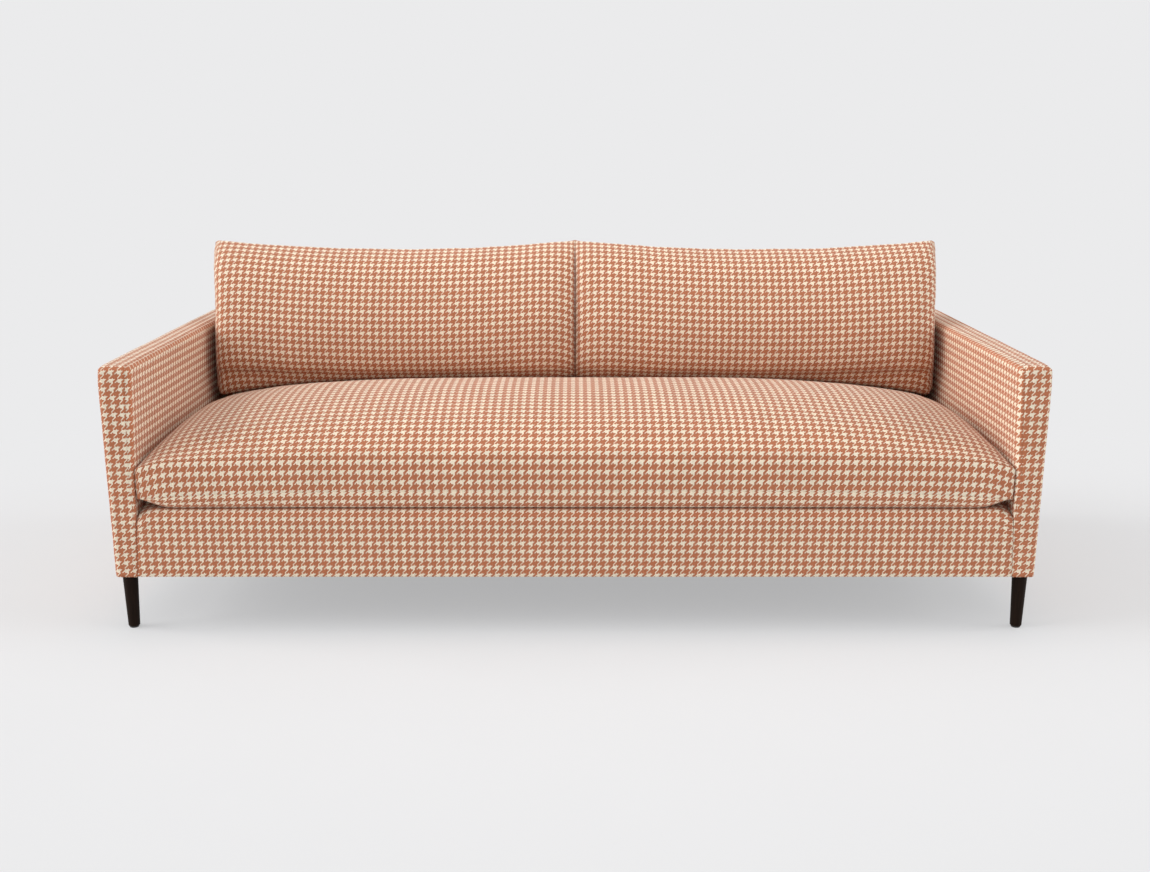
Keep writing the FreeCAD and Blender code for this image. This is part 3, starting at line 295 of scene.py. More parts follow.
class Tree:
    """A short way of writing nodes."""

    def __init__(self, tree):
        self.tree = tree

    def add(self, kind, settings=(), **inputs):
        """A node. An input is named, or numbered as i0, i1 and so on."""
        node = self.tree.nodes.new("ShaderNode" + kind)
        for key, value in dict(settings).items():
            setattr(node, key, value)
        for key, value in inputs.items():
            self.feed(node.inputs[int(key[1:]) if key[1:].isdigit() else key], value)
        return node

    def feed(self, socket, value):
        if isinstance(value, bpy.types.NodeSocket):
            self.tree.links.new(value, socket)
        elif socket.type == "RGBA":
            socket.default_value = (*value, 1.0)
        else:
            socket.default_value = value

    def math(self, operation, a, b=0.0):
        return self.add("Math", {"operation": operation}, i0=a, i1=b).outputs[0]

    def plus(self, a, b):
        return self.math("ADD", a, b)

    def times(self, a, b):
        return self.math("MULTIPLY", a, b)

    def mix(self, factor, a, b, blend="MIX"):
        return self.add("Mix", {"data_type": "RGBA", "blend_type": blend}, i0=factor, i6=a,
                        i7=b).outputs[2]

    def shades(self, factor, a, b):
        """A mix of two everyday colours."""
        return self.mix(factor, linear(*a), linear(*b))

    def ramp(self, value, low, high, out_low=0.0, out_high=1.0, curve="LINEAR"):
        return self.add("MapRange", {"interpolation_type": curve}, i0=value, i1=low, i2=high,
                        i3=out_low, i4=out_high).outputs[0]

    def noise(self, place, scale, detail=2.0, rough=0.5):
        return self.add("TexNoise", Vector=place, Scale=scale, Detail=detail,
                        Roughness=rough).outputs["Fac"]

    def bump(self, height, distance, strength):
        return self.add("Bump", Height=height, Distance=distance, Strength=strength).outputs[0]

    def place(self, scale=(1, 1, 1)):
        """The piece's own coordinates."""
        place = self.add("TexCoord").outputs["Object"]
        if scale != (1, 1, 1):
            place = self.add("Mapping", Vector=place, Scale=scale).outputs[0]
        return place

    def sees_backdrop(self):
        """1 for the rays that see the pale backdrop: the camera's, and those in metal and glass."""
        path = self.add("LightPath").outputs
        ray = path["Is Camera Ray"]
        for kind in ("Is Glossy Ray", "Is Transmission Ray"):
            ray = self.math("MAXIMUM", ray, path[kind])
        return ray


class Material(Tree):
    def __init__(self, name, roughness, **fixed):
        self.material = bpy.data.materials.new(name)
        self.material.use_nodes = True
        super().__init__(self.material.node_tree)
        self.shader = self.tree.nodes["Principled BSDF"]
        self.shader.inputs["Roughness"].default_value = roughness
        for key, value in fixed.items():
            self.shader.inputs[key.replace("_", " ")].default_value = value

    def done(self, colour, normal=None, roughness=None):
        for key, value in (("Base Color", colour), ("Normal", normal), ("Roughness", roughness)):
            if value is not None:
                self.feed(self.shader.inputs[key], value)
        return self.material


RUST_YARN, CREAM_YARN = (184, 113, 79), (240, 226, 203)
DARK_SPREAD = 0.25


def houndstooth():
    """Woven thread by thread: four dark and four light each way, in a two-up two-down twill."""
    m = Material("houndstooth_wool", 0.9, Sheen_Weight=0.15, Sheen_Roughness=0.45,
                 Specular_IOR_Level=0.25)
    cloth = m.add("UVMap", {"uv_map": WEAVE_UV}).outputs[0]
    split = m.add("SeparateXYZ", Vector=cloth).outputs
    shift = m.times(m.math("SUBTRACT", m.noise(cloth, 60.0), 0.5), 0.4)
    along = m.plus(m.math("DIVIDE", split[0], THREAD), shift)
    up = m.math("SUBTRACT", m.math("DIVIDE", split[1], THREAD), shift)

    def on_top(warp_up, warp, weft):
        """The warp's value where the warp is on top, and the weft's elsewhere."""
        return m.plus(m.times(warp_up, warp),
                      m.times(m.math("SUBTRACT", 1.0, warp_up), weft))

    def yarns(right, above):
        """The two threads a little way to one side, whether the warp is the upper one, and
        whether the upper one is dark."""
        warp = m.math("FLOOR", m.plus(along, right))
        weft = m.math("FLOOR", m.plus(up, above))
        step = m.math("FLOORED_MODULO", m.plus(m.math("SUBTRACT", warp, weft), 1.0), 4.0)
        warp_up = m.math("LESS_THAN", step, 1.5)
        dark = (m.math("LESS_THAN", m.math("FLOORED_MODULO", thread, 8.0), 3.5)
                for thread in (warp, weft))
        return warp, weft, warp_up, on_top(warp_up, *dark)

    warp, weft, warp_up, dark = yarns(0.0, 0.0)
    # The dark yarn is the fuller one, so it spreads over the edge of the pale one.
    for right, above in ((1, 0), (-1, 0), (0, 1), (0, -1)):
        dark = m.math("MAXIMUM", dark, yarns(right * DARK_SPREAD, above * DARK_SPREAD)[3])
    # Each thread is round, and dips where it goes under its neighbours; the dips shape the bump,
    # and they also darken the colour as painted shade.
    height = on_top(warp_up, *(m.math("SINE", m.times(m.math("FRACT", thread), math.pi))
                               for thread in (along, up)))
    # Yarns differ a little from each other and along their length.
    yarn = on_top(warp_up, *(
        m.add("TexWhiteNoise", {"noise_dimensions": "1D"}, W=thread).outputs[0]
        for thread in (warp, m.plus(weft, 0.37))))
    slub = m.noise(cloth, 900.0, 3.0, 0.6)
    tone_and_painted_shade = m.plus(m.ramp(yarn, 0.0, 1.0, 0.90, 1.05), m.ramp(slub, 0.3, 0.7, -0.07, 0.07))
    # Painted shade: each thread's colour darkens, down to 0.80, where it dips under its neighbours.
    tone_and_painted_shade = m.times(tone_and_painted_shade, m.ramp(height, 0.0, 1.0, 0.80, 1.04))
    tone_and_painted_shade = m.times(tone_and_painted_shade, m.ramp(m.noise(cloth, 9.0), 0.3, 0.7, 0.97, 1.02))
    colour = m.mix(1.0, m.shades(dark, CREAM_YARN, RUST_YARN), tone_and_painted_shade, "MULTIPLY")
    fuzz = m.noise(cloth, 2600.0, 2.0, 0.7)
    relief = m.plus(height, m.times(fuzz, 0.5))
    return m.done(colour, m.bump(relief, 0.0005, 0.6), m.ramp(slub, 0.0, 1.0, 0.84, 0.98))


def wood(name, dark, light, grain_along, roughness, ring_scale=14.0, specular=0.5):
    """Grain drawn out along one axis, with rings and fine pores."""
    m = Material(name, roughness, Specular_IOR_Level=specular)

    def grain(squash, *look):
        scale = tuple(squash if axis == grain_along else 1.0 for axis in "xyz")
        return m.noise(m.place(scale), *look)

    band = m.math("FRACT", m.times(grain(0.06, ring_scale, 4.0, 0.6), 7.0))
    pore = grain(0.03, 900.0, 2.0, 0.7)
    factor = m.plus(m.times(band, 0.55), m.times(pore, 0.45))
    rough = m.ramp(pore, 0.2, 0.8, roughness - 0.08, roughness + 0.1)
    return m.done(m.shades(factor, dark, light), m.bump(pore, 0.0003, 0.35), rough)


def lining(name, light, dark, thread):
    """A plain weave."""
    m = Material(name, 0.9, Sheen_Weight=0.15, Sheen_Roughness=0.5)
    place = m.add("SeparateXYZ", Vector=m.place()).outputs
    weave = m.times(*(m.math("SINE", m.times(place[k], math.pi / thread)) for k in (0, 1)))
    cloud = m.noise(m.place(), 30.0, 3.0)
    factor = m.plus(m.ramp(weave, -1.0, 1.0, 0.0, 0.6), m.times(cloud, 0.4))
    return m.done(m.shades(factor, dark, light), m.bump(weave, 0.0002, 0.5))


def fibres(name, light, dark, scale):
    """Matted fibres, for felt, wadding and the dust cover."""
    m = Material(name, 0.95, Sheen_Weight=0.2, Sheen_Roughness=0.5)
    place = m.place()
    drift = m.add("TexNoise", Vector=place, Scale=scale / 4).outputs["Color"]
    bent = m.add("VectorMath", {"operation": "ADD"}, i0=place, i1=drift).outputs[0]
    strand = m.noise(bent, scale, 6.0, 0.75)
    return m.done(m.shades(m.ramp(strand, 0.35, 0.65), dark, light),
                  m.bump(strand, 0.0006, 0.5))


def foam(name, light, dark):
    m = Material(name, 0.85, Subsurface_Weight=0.05)
    cells = m.add("TexVoronoi", Vector=m.place(), Scale=700.0).outputs[0]
    cloud = m.noise(m.place(), 12.0, 3.0)
    return m.done(m.shades(cloud, dark, light), m.bump(cells, 0.0004, 0.5))


def metal(name, light, dark, roughness):
    m = Material(name, roughness, Metallic=1.0)
    cloud = m.noise(m.place(), 400.0 / 12, 3.0)
    scratch = m.noise(m.place((1, 1, 8)), 400.0)
    rough = m.ramp(scratch, 0.3, 0.7, roughness - 0.08, roughness + 0.12)
    return m.done(m.mix(cloud, dark, light), m.bump(scratch, 0.0001, 0.2), rough)


def plastic(name, light, dark):
    m = Material(name, 0.45)
    grain = m.noise(m.place(), 1800.0)
    cloud = m.noise(m.place(), 60.0)
    return m.done(m.shades(cloud, dark, light), m.bump(grain, 0.0001, 0.3),
                  m.ramp(grain, 0.3, 0.7, 0.40, 0.53))


finishes = {
    "houndstooth_fabric": houndstooth(),
    "deck_lining": lining("deck_twill", (206, 190, 168), (168, 150, 128), 0.0007),
    "dust_cloth": fibres("dust_cloth_black", (52, 50, 50), (22, 21, 22), 500.0),
    "foam": foam("cushion_foam", (232, 216, 150), (214, 196, 128)),
    "fibre_filling": fibres("polyester_fibre", (244, 242, 238), (214, 211, 205), 300.0),
    "felt": fibres("grey_felt", (150, 146, 140), (98, 95, 92), 420.0),
    "webbing": lining("jute_webbing", (176, 140, 92), (118, 88, 54), 0.0015),
    "hardboard": wood("hardboard", (120, 84, 54), (148, 108, 72), "z", 0.7, ring_scale=160.0),
    "frame_wood": wood("frame_birch", (184, 146, 100), (222, 190, 146), "x", 0.62),
    "leg_wood": wood("leg_wenge", (21, 13, 8), (35, 22, 15), "z", 0.5, ring_scale=60.0,
                     specular=0.07),
    "spring_steel": metal("spring_steel", (0.32, 0.32, 0.34), (0.20, 0.20, 0.22), 0.38),
    "zinc_steel": metal("zinc_plated", (0.72, 0.72, 0.70), (0.55, 0.55, 0.56), 0.30),
    "glide_nylon": plastic("glide_nylon", (60, 58, 56), (36, 35, 34)),
    "zip_tape": lining("zip_tape", (206, 142, 108), (160, 98, 70), 0.0005),
    "zip_metal": metal("zip_brass", (0.62, 0.50, 0.32), (0.44, 0.34, 0.20), 0.35),
}


# Upholstered arms, front, back

ARM_HEIGHTS = [BOTTOM, BOTTOM + 1.5, BOTTOM + 4]
ARM_HEIGHTS += [BOTTOM + 4 + (ARM_TOP - BOTTOM - 4) * k / 46 for k in range(1, 47)]
ARM_DEPTHS = [ARM_RADIUS + (DEPTH - 2 * ARM_RADIUS) * k / 92 for k in range(93)]
ARM_TURNS = [QUARTER * k / 7 for k in range(1, 8)]


def arm_outline():
    """Front, top and rear edge of an arm: (depth, height, turn, how far along the cloth)."""
    path = [(0.0, z, 0.0, z) for z in ARM_HEIGHTS]
    path += [(ARM_RADIUS * (1 - math.cos(turn)), ARM_TOP + ARM_RADIUS * math.sin(turn), turn,
              ARM_TOP + ARM_RADIUS * turn) for turn in ARM_TURNS[:-1]]
    run = ARM_TOP + ARM_RADIUS * (QUARTER - 1)
    path += [(y, ARM_HEIGHT, QUARTER, run + y) for y in ARM_DEPTHS]
    run = path[-1][3] + ARM_RADIUS * QUARTER
    path += [(DEPTH - y, z, math.pi - turn, run - ARM_RADIUS * turn)
             for y, z, turn, mark in reversed(path[len(ARM_HEIGHTS):][:len(ARM_TURNS) - 1])]
    return path + [(DEPTH, z, math.pi, run + ARM_TOP - z) for z in reversed(ARM_HEIGHTS)]


def tuck(z):
    """How far the bottom edge turns in."""
    return max(0.0, 1.5 - (z - BOTTOM)) ** 2 / 1.5


def inner_radius(z, y=0.0):
    """The inner edge of an arm is crisp beside the front border and beside the back."""
    share = clamp((z - ARM_HEIGHT + 70.0) / 55.0 if y > DEPTH / 2 else (z - DECK) / 60.0)
    return CRISP_RADIUS + (ARM_RADIUS - CRISP_RADIUS) * share * share * (3 - 2 * share)


def arm_hem(sign):
    """The cloth turned in under an arm, along its front, outer and rear edge."""
    rows = []
    for inset, rise in ((0.0, 0.0), (3.0, 0.0), (14.0, 2.4)):
        radius, far = max(ARM_RADIUS - inset, 0.6), max(inset - ARM_RADIUS + 0.6, 0.0)
        side = arm_outer(BOTTOM) - ARM_RADIUS - far
        edge = [(side + radius * math.cos(turn), middle + radius * math.sin(turn))
                for middle, first in ((ARM_RADIUS + far, -8), (DEPTH - ARM_RADIUS - far, 0))
                for turn in (QUARTER * k / 8 for k in range(first, first + 9))]
        edge = [(arm_inner(BOTTOM), inset), *edge, (arm_inner(BOTTOM), DEPTH - inset)]
        rows.append([((sign * x, y, BOTTOM + rise), (sign * x, -y), FAR) for x, y in edge])
    return rows


def arm_upholstery(side, sign):
    """An inner panel, an outer panel, and a strip between them up the front and over the top."""
    flats = spread(ARM_TOP_WIDTH - 2 * ARM_RADIUS, 5, both_ends=False)
    strip, inner_turn = [], []
    for y, z, around, run in arm_outline():
        tucked = tuck(z) if y < DEPTH / 2 else -tuck(z)

        def place(x, inset):
            """A place on the outline, drawn in."""
            return (sign * x, y + inset * math.cos(around) + tucked, z - inset * math.sin(around))

        low, high = arm_inner(z) + inner_radius(z, y), arm_outer(z) - ARM_RADIUS
        row = [(place(x, 0.0), (sign * x, run), min(x - low, high + ARM_RADIUS * QUARTER - x))
               for x in (low + (high - low) * share for share in flats)]
        row += [(place(high + ARM_RADIUS * math.sin(turn), ARM_RADIUS * (1 - math.cos(turn))),
                 (sign * (high + ARM_RADIUS * turn), run), ARM_RADIUS * (QUARTER - turn))
                for turn in ARM_TURNS]
        strip.append(row)
        radius = inner_radius(z, y) if z < ARM_TOP else ARM_RADIUS
        row = []
        for turn in [0.0] + ARM_TURNS:
            left, deep, high = radius * (QUARTER - turn), y, z
            if around != QUARTER:
                deep = (radius if around < QUARTER else DEPTH - radius) - left * math.cos(around)
            if 0 < around < math.pi:
                high = ARM_TOP + left * math.sin(around)
            row.append((place(arm_inner(z) + radius * (1 - math.sin(turn)),
                              radius * (1 - math.cos(turn))),
                        (-sign * deep, high), radius * turn))
        inner_turn.append(row)

    def panel(z, place, inner):
        """A cell of a side panel, at a height and at the ARM_DEPTHS of the number place."""
        front, rear = (inner_radius(z), inner_radius(z, DEPTH)) if inner else (ARM_RADIUS,) * 2
        deep = {0: front, len(ARM_DEPTHS) - 1: DEPTH - rear}.get(place, ARM_DEPTHS[place])
        away = min(deep - front, DEPTH - rear - deep, ARM_TOP - z)
        return ((sign * (arm_inner(z) + tuck(z) if inner else arm_outer(z) - tuck(z)),
                 min(max(deep, front + tuck(z)), DEPTH - rear - tuck(z)), z),
                (-sign * deep if inner else sign * deep, z),
                away + (front * QUARTER if inner else 0.0))

    form = Form()
    form.grid(strip, flip=sign < 0)
    form.grid(inner_turn, flip=sign > 0)
    for inner in (True, False):
        form.grid([[panel(z, place, inner) for place in range(len(ARM_DEPTHS))]
                   for z in ARM_HEIGHTS], flip=(sign > 0) == inner)
    form.grid(arm_hem(sign), flip=sign < 0)
    thing = form.build(f"arm_upholstery_{side}", reach=0.3)
    # the four corners on top are rounded off further
    corners = [(Vector((sign * x, y, ARM_HEIGHT)), Vector((way_x * sign, way_y, -1)).normalized())
               for x, way_x in ((arm_inner(ARM_HEIGHT), 0.6), (arm_outer(ARM_HEIGHT), -1.1))
               for y, way_y in ((0.0, 1), (DEPTH, -1))]
    for vertex in thing.data.vertices:
        place = Vector(sofa_mm(vertex.co))
        for corner, way in corners:
            vertex.co += way * 3.5 * bell((place - corner).length, 24.0) * MM
    thing.data.update()
    soften(thing, 1.5, 0.7, ((160.0, 0.5), (60.0, 0.2)),
           keep=lambda x, y, z: clamp((z - BOTTOM) / 12.0))
    dress(thing, "houndstooth_fabric", "frame", f"arm_cover_{side}", f"arm_padding_{side}")


def strip_between_arms(name, layers, section, tucked, way=1):
    """A panel swept from arm to arm along a (depth, height) section, its ends tucked in. Its face
    looks up or forward with a way of 1, and back with -1."""
    rows, low = [], section[0][1]
    for k, ((depth, height), mark) in enumerate(zip(section, lengths(section))):
        half = arm_inner(max(height, BOTTOM)) - 0.3
        before, after = section[max(k - 1, 0)], section[min(k + 1, len(section) - 1)]
        inward = Vector((after[1] - before[1], before[0] - after[0])).normalized() * way * tucked
        row = []
        for x in (half * (2 * share - 1) for share in spread(2 * arm_inner(DECK), 11)):
            sunk = inward * fade(half - abs(x), 9.0) ** 2
            row.append(((x, depth + sunk.x, height + sunk.y), (x * way, mark + BOTTOM - low),
                        half - abs(x)))
        rows.append(row)
    thing = Form().grid(rows, flip=way < 0).build(f"{name}_upholstery")
    soften(thing, 0.6, 0.4, ((150.0, 0.5), (55.0, 0.2)),
           keep=lambda x, y, z: clamp((z - low - 2) / 12.0))
    dress(thing, "houndstooth_fabric", "frame", *(f"{name}_{layer}" for layer in layers))
    return thing


def rounded(radius, *points, steps=6):
    """The turn that rounds off the second of three points."""
    a, corner, c = (Vector(point) for point in points)
    one, two = (a - corner).normalized(), (c - corner).normalized()
    half = one.angle(two) / 2
    middle = corner + (one + two).normalized() * (radius / math.sin(half))
    first, last = (corner + way * (radius / math.tan(half)) - middle for way in (one, two))
    return [tuple(middle + first.slerp(last, k / steps).normalized() * radius)
            for k in range(steps + 1)]


def stretch(a, b):
    """Points from a to b about 11 mm apart, without b."""
    count = max(1, round(math.dist(a, b) / 11))
    return [tuple(p + (q - p) * k / count for p, q in zip(a, b)) for k in range(count)]


# How far the border's top sinks beside an arm, how near the arm, and from what height up.
BORDER_SINK, BORDER_SINK_REACH, BORDER_SINK_START = 20.0, 36.0, 235.0


def front_border():
    turn = rounded(20.0, (0.0, BOTTOM), (0.0, DECK), (DECK_FRONT, DECK))
    section = [(12.0, BOTTOM), (3.0, BOTTOM), (0.9, BOTTOM + 0.9)]
    section += stretch((0.0, BOTTOM + 3), turn[0]) + turn[:-1]
    section += stretch(turn[-1], (DECK_FRONT, DECK)) + [(DECK_FRONT, DECK)]
    thing = strip_between_arms("front_border", ("cover", "padding"), section, 3.0)
    for vertex in thing.data.vertices:
        x, y, z = sofa_mm(vertex.co)
        beside = fade(arm_inner(z) - abs(x), BORDER_SINK_REACH) ** 1.6
        high = clamp((z - BORDER_SINK_START) / 60.0)
        vertex.co.z -= BORDER_SINK * beside * high * fade(max(y, 0.0), 70.0) * MM


def inside_back():
    turn = rounded(12.0, (back_face(DECK), DECK), (back_face(ARM_HEIGHT), ARM_HEIGHT),
                   (DEPTH, ARM_HEIGHT))
    section = stretch((back_face(DECK), DECK), turn[0]) + turn[:-1]
    section += stretch(turn[-1], (DEPTH - 3, ARM_HEIGHT))
    section += [(DEPTH - 3, ARM_HEIGHT), (DEPTH - 0.9, ARM_HEIGHT - 0.9), (DEPTH, ARM_HEIGHT - 3)]
    thing = strip_between_arms("inside_back", ("cover", "padding"), section, 8.0)


def outside_back():
    top = ARM_HEIGHT - 1.5
    section = [(DEPTH - 12, BOTTOM), (DEPTH - 3, BOTTOM), (DEPTH - 0.9, BOTTOM + 0.9)]
    section += stretch((DEPTH, BOTTOM + 3), (DEPTH, top - 2))
    section += [(DEPTH, top - 2), (DEPTH - 1.4, top)]
    thing = strip_between_arms("outside_back", ("cover",), section, 2.5, way=-1)
    half = arm_inner((BOTTOM + ARM_HEIGHT) / 2)
    lengths(section)[-1] * MM


# The seat cushion

SEAT_HALF, SEAT_FRONT, SEAT_REAR = 1020.0, 3.0, 779.0
SEAT_SEAM, SEAT_RISE, SEAT_CROWN, SEAT_FLOOR = 411.0, 14.0, 116.0, 303.3
SEAT_LENGTH, SEAT_LEAN = SEAT_REAR - SEAT_FRONT, 1.5
# How the underside rises to the seam at the cushion's ends: (distance from the end, share).
SIDE_ROLL = [(0.0, 1.0), (3.0, 0.72), (7.0, 0.42), (12.0, 0.2), (20.0, 0.05), (32.0, 0.0)]
# Height of the middle of the cushion's top along its depth, as shares of both.
SEAT_PROFILE = [
    (0.0, 0.0), (0.005, 0.14), (0.0245, 0.26), (0.0438, 0.37), (0.063, 0.483), (0.085, 0.575),
    (0.108, 0.655), (0.133, 0.717), (0.158, 0.769), (0.183, 0.816), (0.209, 0.855),
    (0.235, 0.889), (0.259, 0.918), (0.285, 0.945), (0.336, 0.983), (0.396, 0.999),
    (0.45, 0.999), (0.504, 0.988), (0.54, 0.964), (0.58, 0.924), (0.62, 0.87), (0.68, 0.785),
    (0.74, 0.695), (0.80, 0.60), (0.86, 0.49), (0.91, 0.365), (0.955, 0.20), (0.985, 0.07),
    (1.0, 0.0),
]
# The rolled edge under the lower seam: how far behind the band, and how high.
SEAT_ROLL = [(0.0, 1.0), (-1.6, 0.86), (-1.8, 0.66), (-0.6, 0.46), (2.0, 0.28), (6.0, 0.14),
             (12.0, 0.05), (22.0, 0.0)]
BAND = [0.0, 0.02, 0.05, 0.1, 0.19, 0.3, 0.42, 0.55, 0.68, 0.8, 0.88, 0.94, 0.975, 1.0]
BAND_STRETCH = 1.21
SEAT_ENDS = [0.0, 1.5, 3.5, 7.0, 12.0, 18.0, 25.0, 33.0, 42.0, 52.0, 63.0]
SEAT_COLUMNS = 126


def crown(x):
    """How full the seat cushion is at x."""
    return math.sqrt(max(0.0, 1 - abs(x / SEAT_HALF) ** 3.6))


def ear(x):
    """How far the front corners of the cushion lift off the deck."""
    return 32.0 * fade(SEAT_HALF - abs(x), 75.0) ** 1.7


def low_seam(x):
    return SEAT_FLOOR + 13.0 * (1 - crown(x)) ** 3 + 12.0 + 32.0 * crown(x)


def top_seam(x):
    return SEAT_SEAM + SEAT_RISE * crown(x) - 11.0 * fade(SEAT_HALF - abs(x), 70.0) ** 1.5


def seat_cushion():
    form = Form()
    inner = SEAT_HALF - SEAT_ENDS[-1]
    xs = [-SEAT_HALF + end for end in SEAT_ENDS]
    xs += [-inner + 2 * inner * k / SEAT_COLUMNS for k in range(1, SEAT_COLUMNS)]
    xs += [SEAT_HALF - end for end in reversed(SEAT_ENDS)]
    # how far each column lies along the cloth, part way between level and over the crown
    tops = [(x, top_seam(x) + crown(x) * SEAT_CROWN) for x in xs]
    over = [0.0]
    for a, b in zip(tops, tops[1:]):
        level = b[0] - a[0]
        over.append(over[-1] + level + 0.35 * (math.dist(a, b) - level))
    columns = [(x, value - over[-1] / 2) for x, value in zip(xs, over)]
    profile = smooth(SEAT_PROFILE, 4)
    marks = lengths([(a * SEAT_LENGTH, b * SEAT_CROWN) for a, b in profile])
    form.grid([
        [((x, SEAT_FRONT + share * SEAT_LENGTH, top_seam(x) + crown(x) * high * SEAT_CROWN),
          (s, mark), min(mark, marks[-1] - mark, SEAT_HALF - abs(x))) for x, s in columns]
        for (share, high), mark in zip(profile, marks)
    ])

    def band(x, s, share, face, way, fullness):
        low, tall, end = low_seam(x), top_seam(x) - low_seam(x), SEAT_HALF - abs(x)
        swell = fullness * math.sin(math.pi * share) ** 0.7 * min(1.0, end / 60.0)
        return ((x, face + way * (swell - SEAT_LEAN * (1 - share)), low + tall * share),
                (-way * s, -tall * (1 - share) / BAND_STRETCH),
                min(tall * min(share, 1 - share), end))

    for face in ((SEAT_FRONT, -1.0, 3.0), (SEAT_REAR, 1.0, 0.8)):
        form.grid([[band(x, s, share, *face) for x, s in columns] for share in BAND],
                  flip=face[1] > 0)

    low, tall = low_seam(SEAT_HALF), top_seam(SEAT_HALF) - low_seam(SEAT_HALF)

    def end_band(y, share, sign):
        lean, swell = SEAT_LEAN * (1 - share), 0.0
        if lean and SEAT_FRONT + SEAT_LEAN < y < SEAT_REAR - SEAT_LEAN:
            swell = 0.8 * math.sin(math.pi * share)
        deep = min(max(y, SEAT_FRONT + lean), SEAT_REAR - lean)
        return ((sign * (SEAT_HALF + swell), deep, low + tall * share),
                (sign * y, low + tall * share),
                min(tall * min(share, 1 - share), y - SEAT_FRONT, SEAT_REAR - y))

    for sign in (-1.0, 1.0):
        form.grid([[end_band(SEAT_FRONT + place * SEAT_LENGTH, share, sign)
                    for place, high in profile] for share in BAND], flip=sign < 0)

    # the underside, whose edges roll up to the lower seam all round
    roll = smooth(SEAT_ROLL, 2)
    roll = [(*point, mark)
            for point, mark in zip(roll, lengths([(behind, high * 44.0) for behind, high in roll]))]
    front_line, rear_line = SEAT_FRONT + SEAT_LEAN, SEAT_REAR - SEAT_LEAN
    inset, run = roll[-1][0], roll[-1][2]
    flat = rear_line - front_line - 2 * inset
    stations = [(front_line + behind, high, mark) for behind, high, mark in roll]
    stations += [(front_line + inset + flat * k / 44, 0.0, run + flat * k / 44)
                 for k in range(1, 44)]
    stations += [(rear_line - behind, high, run * 2 + flat - mark)
                 for behind, high, mark in reversed(roll)]

    def under(x, s, y, high, mark):
        end, back = SEAT_HALF - abs(x), clamp(min(y - 40.0, 740.0 - y) / 60.0)
        floor = SEAT_FLOOR + ear(x) * (1 - back)
        lift = max(high, between(SIDE_ROLL, end))
        return ((x, y, floor + (low_seam(x) - floor) * lift), (s, -mark - 80.0),
                min(mark, stations[-1][2] - mark, end))

    form.grid([[under(x, s, *station) for x, s in columns] for station in stations], flip=True)

    def keep(x, y, z):
        """Nothing moves where the cushion lies on the deck or against the arms and the back."""
        deck = clamp((z - 305.0) / 22.0)
        arm = clamp((SEAT_HALF - abs(x)) / 25.0) if z < 600 else 1.0
        rear = clamp((SEAT_REAR - 4 - y) / 25.0)
        under_backs = 1.0 if y < 560 else fade(y - 560, 40.0)
        return deck * arm * rear * under_backs

    finish_cushion(form, 0.7, "seat_cushion", "wrap", 1.3, 0.8, ((120.0, 2.0), (47.0, 0.5)), keep)


# The back cushions

BACK_OUTER, BACK_INNER = 1008.0, 0.12
BACK_SPAN = BACK_OUTER - BACK_INNER
BACK_FOOT, BACK_HIGH, BACK_DIP = 446.0, 866.0, 25.0
SEAM_FOOT_Y, SEAM_TOP_Y = 685.0, 757.0
BACK_REACH, BACK_FOOT_RISE = 120.0, 42.0
HALF_THICK = 123.0
ZIP_Y, ZIP_Z, ZIP_HALF = 784.5, 462.0, 15.6
# Where the underside rests on the seat: (depth, gap, place along the side seam).
BACK_UNDER = [(711.0, 9.0, 0.045), (645.0, 5.0, 0.085)]
BACK_STEPS = 3
# The front face of the full part: how far in front of the seam line, how high, and where the
# same thread lies along the side seams.
FRONT_FACE = [
    (-0.58, 0.160, 0.115), (-0.74, 0.193, 0.147), (-0.84, 0.238, 0.19), (-0.905, 0.290, 0.235),
    (-0.948, 0.345, 0.28), (-0.975, 0.402, 0.325), (-0.99, 0.460, 0.372), (-0.986, 0.516, 0.42),
    (-0.963, 0.574, 0.467), (-0.932, 0.623, 0.517), (-0.896, 0.672, 0.567),
    (-0.852, 0.718, 0.617), (-0.802, 0.764, 0.667), (-0.742, 0.810, 0.718),
    (-0.670, 0.851, 0.765), (-0.583, 0.890, 0.812), (-0.478, 0.926, 0.855),
    (-0.355, 0.954, 0.897), (-0.22, 0.976, 0.937), (-0.10, 0.992, 0.97),
]
# The same for the rear face, above the part that lies on the back.
REAR_FACE = [(0.78, 0.62, 0.62), (0.66, 0.75, 0.74), (0.52, 0.85, 0.84), (0.36, 0.92, 0.91),
             (0.17, 0.975, 0.965)]
# How far in from the end of a back cushion, and how full it is there. The ends are blunt: the
# two cushions press on each other in the middle, and their outer ends round off to the seam.
INNER_END = [(0.0, 0.0), (0.0, 0.3), (0.0, 0.56), (0.008, 0.63), (0.03, 0.70), (0.075, 0.77),
             (0.145, 0.835), (0.24, 0.885), (0.36, 0.928), (0.52, 0.964), (0.74, 0.99),
             (1.0, 1.0)]
OUTER_END = [(0.01, 0.0), (0.035, 0.2), (0.075, 0.4), (0.105, 0.54), (0.145, 0.655),
             (0.19, 0.748), (0.25, 0.82), (0.33, 0.878), (0.44, 0.925), (0.58, 0.963),
             (0.78, 0.99), (1.0, 1.0)]
# How far the outer end stands out beyond its seam, by height.
BACK_SIDE = [(446.0, 3.5), (520.0, 2.0), (624.0, -2.0), (680.0, -3.0), (735.0, 1.0),
             (790.0, 5.0), (830.0, 3.0), (866.0, 0.0)]
# How far the rows of the weave sink towards the inner and the outer end.
ROW_SINK_INNER, ROW_SINK_OUTER, ROW_SINK_REACH = 15.0, 9.0, 220.0


def seam_y(z):
    return SEAM_FOOT_Y + (SEAM_TOP_Y - SEAM_FOOT_Y) * (z - BACK_FOOT) / (BACK_HIGH - BACK_FOOT)


